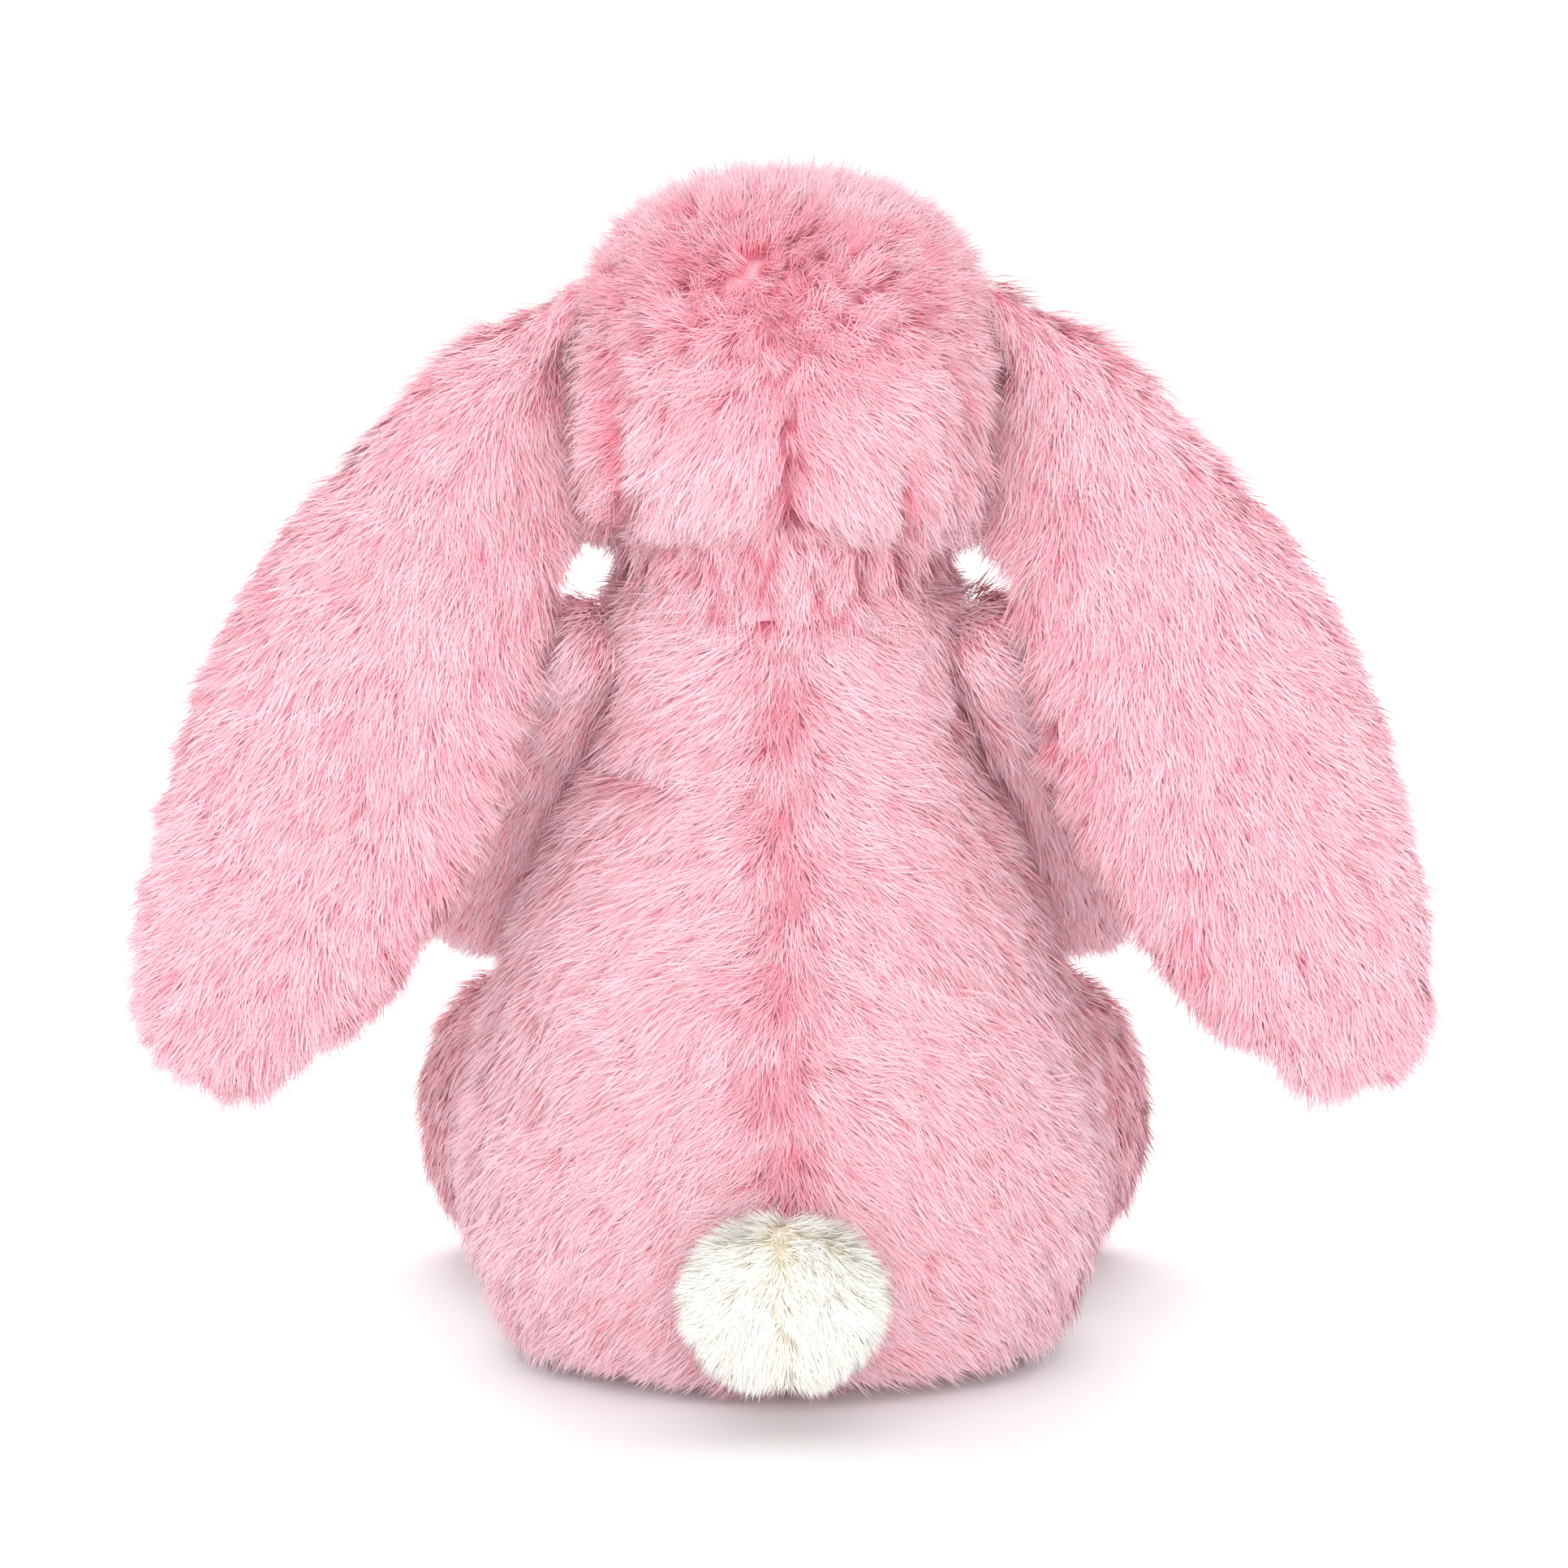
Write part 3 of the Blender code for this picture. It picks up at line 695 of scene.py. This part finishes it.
torsoLook = {
    "drawIn": 0.0034,
    "swell": 0.0016,
    "seamDepth": 0.0020,
    "seamWidth": 0.0032,
    "seamWander": 0.0006,
    "sideSeam": (0.0300, 0.118),
    "sideSeamWidth": 0.0022,
    "sideSeamDepth": 0.0016,
    "creaseHeight": 0.1075,
    "creaseSlope": 0.05,
    "creaseWidth": 0.0016,
    "creaseDepth": 0.0028,
    "shoulder": (0.118, 0.140),
    "shoulderLift": 0.0035,
    "shoulderSpread": 0.05,
    "lowest": 0.0008,
    "pile": {"Spacing": 0.00106, "Density": 1200000.0, "Swirl": 0.50, "Seed": 3},
    "frontPile": {"Spacing": 0.00145, "Density": 900000.0, "Swirl": 0.45, "Seed": 4},
    "length": 1.0,
    "lean": 0.90,
}

torsoNodes = ["back_panel_left", "back_panel_right", "tummy_panel", "seat_panel", "torso_stuffing"]
torsoSkin = makeSkin("torsoSkin", torsoNodes, torsoLook["drawIn"], torsoLook["swell"])


# how near each point is to the middle seam, the side seams and the crease
def torsoSeams(x, y, z):
    look = torsoLook
    behind = rise(y, 0.0, 0.012)
    centre = valley(x - look["seamWander"] * wander(z, 0.0), look["seamWidth"]) * behind
    sideX, low = look["sideSeam"]
    side = valley(np.abs(x) - sideX, look["sideSeamWidth"]) * rise(y, -0.004, 0.008)
    side = side * rise(z, low, low + 0.010)
    slant = z - look["creaseHeight"] - look["creaseSlope"] * (x + 0.03)
    crease = valley(slant, look["creaseWidth"]) * rise(x, 0.012, 0.022) * behind
    return centre, side, crease


def shapeTorso():
    look = torsoLook
    points, normals = readVerts(torsoSkin), readNormals(torsoSkin)
    centre, side, crease = torsoSeams(*points.T)
    press = centre * look["seamDepth"] + side * look["sideSeamDepth"] + crease * look["creaseDepth"]
    points = points - normals * press[:, None]
    near = rise(points[:, 2], *look["shoulder"])
    points[:, 2] += look["shoulderLift"] * near
    points[:, 0] *= 1 + look["shoulderSpread"] * near
    points[:, 2] = np.maximum(points[:, 2], look["lowest"])
    writeVerts(torsoSkin, points)


shapeTorso()


def combTorso(sideX, sideY):
    def comb(points, normals):
        x, y, z = points.T
        centre, side, crease = torsoSeams(x, y, z)
        patch = wander(z, 1.3 + sideX)
        aside = sideX * (0.65 + (1.1 + 0.6 * patch) * np.exp(-np.abs(x) / 0.020)) * rise(y, -0.01, 0.01)
        aside = aside * rise(np.abs(x), -0.001, 0.006) + 1.1 * centre * wander(z * 1.7 + x * 1.5, 4.0)
        nap = np.column_stack((aside, np.zeros_like(x), -np.ones_like(x)))
        lean = torsoLook["lean"] - (0.35 + 0.25 * patch) * centre - 0.2 * side
        length = torsoLook["length"] * (1 - 0.12 * centre - 0.30 * side - 0.25 * crease)
        # painted shade: the pile's colour is deeper in the middle seam, the side seams and the crease,
        # where shade falls; it is paler towards the sides
        toneAndShade = 0.20 - 0.14 * rise(np.abs(x), 0.030, 0.048) + (0.46 + 0.75 * patch) * centre
        toneAndShade = toneAndShade + 0.25 * side + 0.55 * crease
        cover = (x * sideX > 0) & (y * sideY > 0) & (normals[:, 2] > -0.75)
        return nap, lean, length, toneAndShade, cover.astype(float)

    return comb


backPiles = [("backPileLeft", combTorso(1, 1)), ("backPileRight", combTorso(-1, 1))]
dress(torsoSkin, torsoNodes, backPiles, torsoLook["pile"], pink, rides="torso")
for name, sideX in (("tummyPileLeft", 1), ("tummyPileRight", -1)):
    tummyPile = makePile(name, torsoSkin, combTorso(sideX, -1), torsoLook["frontPile"], pinkPile)
    attach(tummyPile, rides="torso")
print("body done")

neckLook = {
    "radius": 0.0285,
    "low": 0.1385,
    "high": 0.1560,
    "corners": 88,
    "pleats": 22,
    "pleatDepth": 0.0008,
    "waist": 0.06,
    "pile": {"Spacing": 0.0016, "Density": 420000.0, "Swirl": 0.45, "Seed": 9},
}


# a gathered ring of fabric between body and head
def makeNeck():
    look = neckLook
    deselectAll()
    middle = (look["low"] + look["high"]) / 2
    tall = look["high"] - look["low"]
    bpy.ops.mesh.primitive_cylinder_add(
        vertices=look["corners"],
        radius=look["radius"],
        depth=tall,
        location=(0, 0, middle),
    )
    neck = bpy.context.object
    neck.name = "neckSkin"
    bpy.ops.object.transform_apply(location=True)
    bpy.ops.object.mode_set(mode="EDIT")
    for height in (0.25, 0.5, 0.75):
        bpy.ops.mesh.select_all(action="SELECT")
        bpy.ops.mesh.bisect(plane_co=(0, 0, look["low"] + height * tall), plane_no=(0, 0, 1))
    bpy.ops.object.mode_set(mode="OBJECT")
    points = readVerts(neck)
    turn = np.arctan2(points[:, 1], points[:, 0])
    waist = 1 - look["waist"] * np.cos((points[:, 2] - middle) / tall * math.pi)
    ring = look["radius"] * waist + look["pleatDepth"] * np.cos(turn * look["pleats"])
    points[:, 0] = np.cos(turn) * ring
    points[:, 1] = np.sin(turn) * ring
    writeVerts(neck, points)
    bpy.ops.object.shade_smooth()
    return neck


def combNeck(points, normals):
    x = points[:, 0]
    one = np.ones_like(x)
    nap = np.column_stack((0 * one, 0 * one, -one))
    return nap, one * 0.7, one * 0.85, one * 0.3, (np.abs(normals[:, 2]) < 0.6).astype(float)


neckPiles = [("neckPile", combNeck)]
dress(makeNeck(), ["neck_collar"], neckPiles, neckLook["pile"], pink, rides="neck")
print("neck done")

headLook = {
    "drawIn": 0.0034,
    "swell": 0.0014,
    "whorl": (0.004, 0.032, 0.1965),
    "whorlReach": (0.036, 0.0150),
    "seamDepth": 0.0012,
    "seamWidth": 0.0026,
    "seamWander": 0.0006,
    "crown": (0.180, 0.205),
    "crownLift": 0.0034,
    "darts": ((0.0262, 0.0046, 0.150, 0.190), (-0.0195, 0.0036, 0.152, 0.174)),
    "dartWidth": 0.0021,
    "dartWander": 0.0004,
    "eye": (0.0290, -0.0211, 0.1801),
    "nose": (0.0, -0.0540, 0.1692),
    "pile": {"Spacing": 0.00104, "Density": 1200000.0, "Swirl": 0.50, "Seed": 5},
    "facePile": {"Spacing": 0.00130, "Density": 900000.0, "Swirl": 0.40, "Seed": 6},
    "lean": 0.92,
}

headNodes = [
    "head_back_panel_left",
    "head_back_panel_right",
    "cheek_panel_left",
    "cheek_panel_right",
    "crown_panel",
    "head_stuffing",
]
headSkin = makeSkin("headSkin", headNodes, headLook["drawIn"], headLook["swell"])


# how near each point is to the middle seam and to the darts, a dart counted by its own depth
def headSeams(x, y, z):
    look = headLook
    behind = rise(y, 0.004, 0.014)
    middle = valley(x - look["seamWander"] * wander(z, 2.0), look["seamWidth"])
    centre = middle * behind * rise(-z, -0.201, -0.196)
    darts = np.zeros_like(x)
    for dartX, depth, low, high in look["darts"]:
        line = x - dartX - look["dartWander"] * wander(z, dartX * 900)
        dip = valley(line, look["dartWidth"]) * depth / look["seamDepth"] * behind
        darts = darts + dip * rise(z, low, low + 0.006) * (1 - rise(z, high - 0.006, high))
    return centre, darts


def shapeHead():
    look = headLook
    points, normals = readVerts(headSkin), readNormals(headSkin)
    centre, darts = headSeams(*points.T)
    points = points - normals * (look["seamDepth"] * (centre + darts))[:, None]
    points[:, 2] += look["crownLift"] * rise(points[:, 2], *look["crown"])
    writeVerts(headSkin, points)


shapeHead()


def combHead(sideX, atBack):
    def comb(points, normals):
        x, y, z = points.T
        look = headLook
        away = points - np.array(look["whorl"])
        below = rise(-away[:, 2], -0.004, 0.022)
        down = np.column_stack((np.sign(x) * 0.75, np.zeros_like(x), -np.ones_like(x)))
        backNap = unit(away * np.array((0.6, 1, 1))) * (1 - below)[:, None] + down * below[:, None]
        noseAway = points - np.array(look["nose"])
        faceNap = unit(noseAway) + np.array((0, 0, -0.25))
        front = rise(-y, -0.004, 0.012)
        nap = backNap * (1 - front)[:, None] + faceNap * front[:, None]
        wide, tall = look["whorlReach"]
        near = np.exp(-(np.abs(away[:, 0] / wide) ** 3) - ((away[:, 2] / tall) ** 2))
        near = near * rise(y, 0.004, 0.018)
        centre, darts = headSeams(x, y, z)
        nap = unit(nap) + scatter(points, 420, 1.0) * (near * 1.4)[:, None]
        nearestDart = np.where(x > 0, look["darts"][0][0], look["darts"][1][0])
        nap[:, 0] += 0.25 * darts * np.sign(x - nearestDart)
        lean = look["lean"] - 0.50 * near - 0.15 * centre
        mirrored = np.column_stack((np.abs(x), y, z))
        eyeGap = np.linalg.norm(mirrored - np.array(look["eye"]), axis=1)
        noseGap = np.linalg.norm(noseAway, axis=1)
        length = 0.98 - 0.40 * rise(-y, 0.004, 0.03) - 0.20 * centre - 0.10 * darts - 0.22 * near
        length = length * (0.5 + 0.5 * rise(eyeGap, 0.005, 0.014))
        length = length * (0.5 + 0.5 * rise(noseGap, 0.006, 0.018))
        # painted shade: the colour is deeper in the whorl, where one looks in between the standing hairs,
        # and along the middle seam and the darts; painted light: it is paler along the top of the crown
        toneAndShade = 0.18 + 0.75 * near * (0.75 + 0.35 * scatter(points, 260, 0.5)[:, 0])
        toneAndShade = toneAndShade + 0.45 * centre + 0.18 * darts - 0.16 * rise(z, 0.200, 0.208)
        cover = ((x > 0) == (sideX > 0)) & ((y > 0.006) == atBack) & (eyeGap > 0.0066) & (noseGap > 0.0055)
        return nap, lean, length, toneAndShade, cover.astype(float)

    return comb


headPiles = [("headBackPileLeft", combHead(1, True)), ("headBackPileRight", combHead(-1, True))]
dress(headSkin, headNodes, headPiles, headLook["pile"], pink, rides="head")
for name, sideX in (("facePileLeft", 1), ("facePileRight", -1)):
    facePile = makePile(name, headSkin, combHead(sideX, False), headLook["facePile"], pinkPile)
    attach(facePile, rides="head")
print("head done")

earLook = {
    "drawIn": 0.0014,
    "swell": 0.0010,
    "spine": (
        (0.0412, 0.1955),
        (0.0456, 0.1865),
        (0.0516, 0.1768),
        (0.0574, 0.1615),
        (0.0634, 0.1476),
        (0.0702, 0.1330),
        (0.0762, 0.1174),
        (0.0820, 0.1025),
        (0.0892, 0.0877),
        (0.0970, 0.0735),
        (0.1022, 0.0640),
        (0.1065, 0.0550),
    ),
    "halfWidth": 0.026,
    "pile": {"Spacing": 0.00112, "Density": 1200000.0, "Swirl": 0.48, "Seed": 7},
    "lean": 0.92,
    "rootPull": (0.0085, 0.183, 0.198),
    "tuck": (0.0080, 0.146, 0.203),
    "foldStart": (0.037, 0.005, 0.201),
    "foldEnd": (0.049, 0.008, 0.180),
}


# how far out the middle line of an ear is at a height
def spineAt(z):
    across, heights = np.array(earLook["spine"])[::-1].T
    return np.interp(z, heights, across)


def combEar(sign, outer):
    def comb(points, normals):
        x, y, z = points.T
        slope = (spineAt(z - 0.006) - spineAt(z + 0.006)) / 0.012
        across = (np.abs(x) - spineAt(z)) / earLook["halfWidth"]
        nearRoot = rise(z, 0.172, 0.196)
        aside = sign * (slope + across * 0.8 + 0.5 * nearRoot)
        nap = np.column_stack((aside, np.zeros_like(x), -np.ones_like(x)))
        one = np.ones_like(x)
        length = 0.95 - 0.05 * nearRoot
        toneAndShade = 0.20 + 0.22 * rise(-across, 0.4, 1.0)
        if outer:
            cover = normals[:, 1] > -0.2
        else:
            cover = normals[:, 1] < 0.0
            length = length * (0.55 + 0.45 * rise(np.abs(across), 0.4, 0.9))
        length = length * (1 - 0.25 * rise(z, 0.188, 0.197))
        return nap, earLook["lean"] * one, length, toneAndShade, cover.astype(float)

    return comb


# draws the ear's root into the head and tucks its inner edge behind it
def tuckEar(skin, sign):
    points = readVerts(skin)
    z = points[:, 2]
    pull, low, high = earLook["rootPull"]
    tuck, below, above = earLook["tuck"]
    inner = rise(spineAt(z) - np.abs(points[:, 0]), 0.002, 0.016) * rise(z, below, below + 0.014)
    inner = inner * (1 - rise(z, above - 0.008, above))
    points[:, 0] -= sign * (pull * rise(z, low, high) + tuck * inner)
    points[:, 1] -= tuck * inner
    writeVerts(skin, points)


for side, sign in (("Left", 1), ("Right", -1)):
    body = "ear_" + side.lower()
    nodes = [body + "_outer", body + "_lining"]
    skin = makeSkin("earSkin" + side, nodes, earLook["drawIn"], earLook["swell"])
    tuckEar(skin, sign)
    piles = [("earOuterPile" + side, combEar(sign, True)), ("earLiningPile" + side, combEar(sign, False))]
    dress(skin, nodes, piles, earLook["pile"], pink)
print("ears done")

armLook = {
    "drawIn": 0.0028,
    "swell": 0.0010,
    "pile": {"Spacing": 0.00125, "Density": 900000.0, "Swirl": 0.45, "Seed": 13},
    "rootPull": (0.0095, 0.076, 0.122),
    "rootLift": 0.0070,
    "rootBack": 0.0105,
    "foldStart": (0.034, -0.002, 0.1370),
    "foldEnd": (0.045, -0.009, 0.1200),
}

legLook = {
    "drawIn": 0.0030,
    "swell": 0.0010,
    "pile": {"Spacing": 0.00130, "Density": 900000.0, "Swirl": 0.45, "Seed": 17},
    "rootPull": (0.0045, -0.050, -0.044),
    "foldStart": (0.033, -0.040, 0.015),
    "foldEnd": (0.040, -0.058, 0.020),
}


def combArm(sign):
    def comb(points, normals):
        x, y, z = points.T
        one = np.ones_like(x)
        aside = sign * (0.55 + 0.5 * rise(z, 0.12, 0.136))
        back = -0.3 + 1.0 * rise(z, 0.112, 0.132)
        nap = np.column_stack((aside, back, -one))
        return nap, 0.9 * one, 0.9 + 0.15 * rise(z, 0.122, 0.136), 0.06 * one, one

    return comb


def combLeg(sign):
    def comb(points, normals):
        x, y, z = points.T
        one = np.ones_like(x)
        onSole = rise(-y, 0.080, 0.085)
        nap = np.column_stack((sign * 0.25 * one, 0.35 * one, -one))
        cover = (normals[:, 2] > -0.8).astype(float)
        return nap, 0.9 * one, 0.88 - 0.45 * onSole, 0.24 * one, cover

    return comb


def makeArm(side, sign):
    body = "arm_" + side.lower()
    nodes = [body + "_shell", body + "_stuffing"]
    skin = makeSkin("armSkin" + side, nodes, armLook["drawIn"], armLook["swell"])
    points = readVerts(skin)
    pull, low, high = armLook["rootPull"]
    near = rise(points[:, 2], low, high)
    points[:, 0] -= sign * pull * near
    points[:, 1] += armLook["rootBack"] * near
    points[:, 2] += armLook["rootLift"] * near
    writeVerts(skin, points)
    piles = [("armPile" + side, combArm(sign))]
    dress(skin, nodes, piles, armLook["pile"], pink)


def makeLeg(side, sign):
    body = "leg_" + side.lower()
    nodes = [body + "_shell", "foot_" + side.lower() + "_sole", body + "_stuffing"]
    skin = makeSkin("legSkin" + side, nodes, legLook["drawIn"], legLook["swell"])
    points = readVerts(skin)
    pull, low, high = legLook["rootPull"]
    points[:, 1] += pull * rise(points[:, 1], low, high)
    writeVerts(skin, points)
    piles = [("legPile" + side, combLeg(sign))]
    dress(skin, nodes, piles, legLook["pile"], pink)


for side, sign in (("Left", 1), ("Right", -1)):
    makeArm(side, sign)
    makeLeg(side, sign)
print("arms and legs done")

tailLook = {
    "drawIn": 0.0034,
    "swell": 0.0008,
    "pile": {"Spacing": 0.00088, "Density": 1600000.0, "Swirl": 0.6, "Seed": 21},
}


def combTail(points, normals):
    x, y, z = points.T
    seam = valley(x - 0.001 * wander(z, 0.8), 0.0020) * rise(y, 0.055, 0.065)
    nap = np.column_stack((np.sign(x) * (0.25 + 0.3 * seam), np.full_like(x, -0.1), -0.7 * np.ones_like(x)))
    # painted shade: the pile's colour is deeper along the seam
    return nap, 0.6 + 0.1 * seam, 0.62 - 0.05 * seam, 0.12 + 0.4 * seam, np.ones_like(x)


tailNodes = ["tail_half_left", "tail_half_right", "tail_stuffing"]
tailSkin = makeSkin("tailSkin", tailNodes, tailLook["drawIn"], tailLook["swell"])
tailPiles = [("tailPile", combTail)]
white = (whiteBacking, whitePile)
dress(tailSkin, tailNodes, tailPiles, tailLook["pile"], white, rides="tail")
print("tail done")

faceLook = {
    "eyeRadius": 0.0058,
    "eyeThickness": 0.0040,
    "eyeSeat": (0.0290, -0.0211, 0.1800),
    "eyeFacing": (0.8282, -0.5099, 0.2323),
    "noseSeat": (0.0, -0.0541, 0.1692),
    "noseHalfWidth": 0.0060,
    "noseHeight": 0.0078,
    "threads": 19,
    "threadWidth": 0.00036,
    "bead": ((0.010, 0.006, 0.005, 1), (0.030, 0.016, 0.010, 1)),
    "thread": ((0.52, 0.10, 0.17, 1), (0.72, 0.22, 0.31, 1)),
}


# a plain procedural surface: two tones in a soft noise, with a little relief
def grainMaterial(name, look, tones, scale, relief):
    material, shader = newMaterial(name, look)
    tree = material.node_tree
    position = tree.nodes.new("ShaderNodeTexCoord")
    grain = tree.nodes.new("ShaderNodeTexNoise")
    grain.inputs["Scale"].default_value = scale
    grain.inputs["Detail"].default_value = 3
    tree.links.new(position.outputs["Object"], grain.inputs["Vector"])
    colour = addRamp(tree, ((0.35, tones[0]), (0.65, tones[1])), grain.outputs["Fac"])
    tree.links.new(colour, shader.inputs["Base Color"])
    if relief:
        bump = tree.nodes.new("ShaderNodeBump")
        bump.inputs["Strength"].default_value = 0.4
        bump.inputs["Distance"].default_value = relief
        tree.links.new(grain.outputs["Fac"], bump.inputs["Height"])
        tree.links.new(bump.outputs["Normal"], shader.inputs["Normal"])
    return material


satin = {"roughness": 0.45, "sheen": 0.3, "specular": 0.4}
cotton = {"roughness": 0.95, "sheen": 0.2}
washerTones = ((0.72, 0.72, 0.70, 1), (0.80, 0.80, 0.78, 1))
cottonTones = ((0.66, 0.62, 0.52, 1), (0.78, 0.74, 0.64, 1))
beanTones = ((0.45, 0.45, 0.44, 1), (0.85, 0.85, 0.83, 1))
eyeGloss = grainMaterial("eyeGloss", {"roughness": 0.06, "specular": 0.6}, faceLook["bead"], 300, 0)
noseSatin = grainMaterial("noseSatin", satin, faceLook["thread"], 900, 0.0001)
washerPlastic = grainMaterial("washerPlastic", {"roughness": 0.4}, washerTones, 400, 0.00005)
pouchCotton = grainMaterial("pouchCotton", cotton, cottonTones, 1200, 0.0003)
beanPlastic = grainMaterial("beanPlastic", {"roughness": 0.5}, beanTones, 500, 0.0010)


def makeEye(side, sign):
    deselectAll()
    look = faceLook
    facing = Vector(look["eyeFacing"]) * Vector((sign, 1, 1))
    seat = Vector(look["eyeSeat"]) * Vector((sign, 1, 1))
    bpy.ops.mesh.primitive_uv_sphere_add(segments=48, ring_count=24, radius=1, location=seat)
    eye = bpy.context.object
    eye.name = "eyeBead" + side
    eye.scale = (look["eyeRadius"], look["eyeRadius"], look["eyeThickness"])
    eye.rotation_euler = facing.to_track_quat("Z", "Y").to_euler()
    bpy.ops.object.transform_apply(location=True, rotation=True, scale=True)
    bpy.ops.object.shade_smooth()
    eye.data.materials.append(eyeGloss)
    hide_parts("eye_" + side.lower())
    attach(eye, rides="head")


# satin stitch: upright threads side by side, filling a triangle with its point down
def makeNose():
    look = faceLook
    seat = Vector(look["noseSeat"])
    deselectAll()
    bpy.ops.mesh.primitive_uv_sphere_add(segments=10, ring_count=12, radius=1)
    first = bpy.context.object
    threads = [first]
    for _ in range(look["threads"] - 1):
        pick(first)
        bpy.ops.object.duplicate()
        threads.append(bpy.context.object)
    for i, thread in enumerate(threads):
        across = 2 * (i + 0.5) / look["threads"] - 1
        top = look["noseHeight"] / 2 - 0.0011 * abs(across) ** 3
        bottom = look["noseHeight"] / 2 - look["noseHeight"] * (1 - abs(across)) ** 0.8 - 0.0012
        thread.scale = (look["threadWidth"], look["threadWidth"] * 2.2, (top - bottom) / 2)
        thread.rotation_euler = (0.12, 0, 0)
        back = 0.0014 * across * across - 0.0008
        thread.location = seat + Vector((across * look["noseHalfWidth"], back, (top + bottom) / 2))
    pick(*threads)
    bpy.ops.object.join()
    nose = bpy.context.object
    nose.name = "noseStitches"
    bpy.ops.object.transform_apply(location=True, rotation=True, scale=True)
    deselectAll()
    behind = seat + Vector((0, 0.0012, -0.0002))
    bpy.ops.mesh.primitive_uv_sphere_add(segments=24, ring_count=12, radius=1, location=behind)
    pad = bpy.context.object
    pad.scale = (look["noseHalfWidth"] * 0.85, 0.0022, look["noseHeight"] * 0.46)
    bpy.ops.object.transform_apply(location=True, rotation=True, scale=True)
    pick(pad, nose)
    bpy.ops.object.join()
    nose = bpy.context.object
    bpy.ops.object.shade_smooth()
    nose.data.materials.clear()
    nose.data.materials.append(noseSatin)
    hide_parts("nose")
    attach(nose, rides="head")


for side, sign in (("Left", 1), ("Right", -1)):
    makeEye(side, sign)
makeNose()
innerMaterials = {
    "eye_washer_left": washerPlastic,
    "eye_washer_right": washerPlastic,
    "bean_pouch": pouchCotton,
    "bean_pellets": beanPlastic,
}
for node, material in innerMaterials.items():
    inner = frame["nodes"][node]
    inner.data.materials.clear()
    inner.data.materials.append(material)
print("face done")

studioLook = {
    "floor": (0.98, 0.975, 0.977, 1),
    "world": 1.04,
    "key": 4,
    "fill": 13,
    "front": 13,
}


def areaLight(name, position, size, power):
    bpy.ops.object.light_add(type="AREA", location=position)
    light = bpy.context.object
    light.name = name
    light.data.size = size
    light.data.energy = power
    light.rotation_euler = (Vector((0, 0, 0.1)) - Vector(position)).to_track_quat("-Z", "Y").to_euler()


def makeStudio():
    deselectAll()
    bpy.ops.mesh.primitive_plane_add(size=12, location=(0, 0, 0))
    floor = bpy.context.object
    floor.name = "studioFloor"
    paper, shader = newMaterial("studioPaper", {"roughness": 0.9})
    shader.inputs["Base Color"].default_value = studioLook["floor"]
    floor.data.materials.append(paper)
    areaLight("keyLight", (0.5, 1.3, 0.8), 1.3, studioLook["key"])
    areaLight("frontLight", (0.2, -1.4, 0.9), 1.4, studioLook["front"])
    areaLight("fillLight", (-0.1, 1.6, 0.45), 0.6, studioLook["fill"])
    world = bpy.data.worlds.new("studioWorld")
    world.use_nodes = True
    world.node_tree.nodes["Background"].inputs["Color"].default_value = (1, 1, 1, 1)
    world.node_tree.nodes["Background"].inputs["Strength"].default_value = studioLook["world"]
    bpy.context.scene.world = world
    bpy.context.scene.view_settings.view_transform = "Standard"


makeStudio()
for lock in locks:
    bpy.data.objects.remove(lock)
bpy.data.collections.remove(lockShapes)


bpy.context.view_layer.update()
print("studio ready")
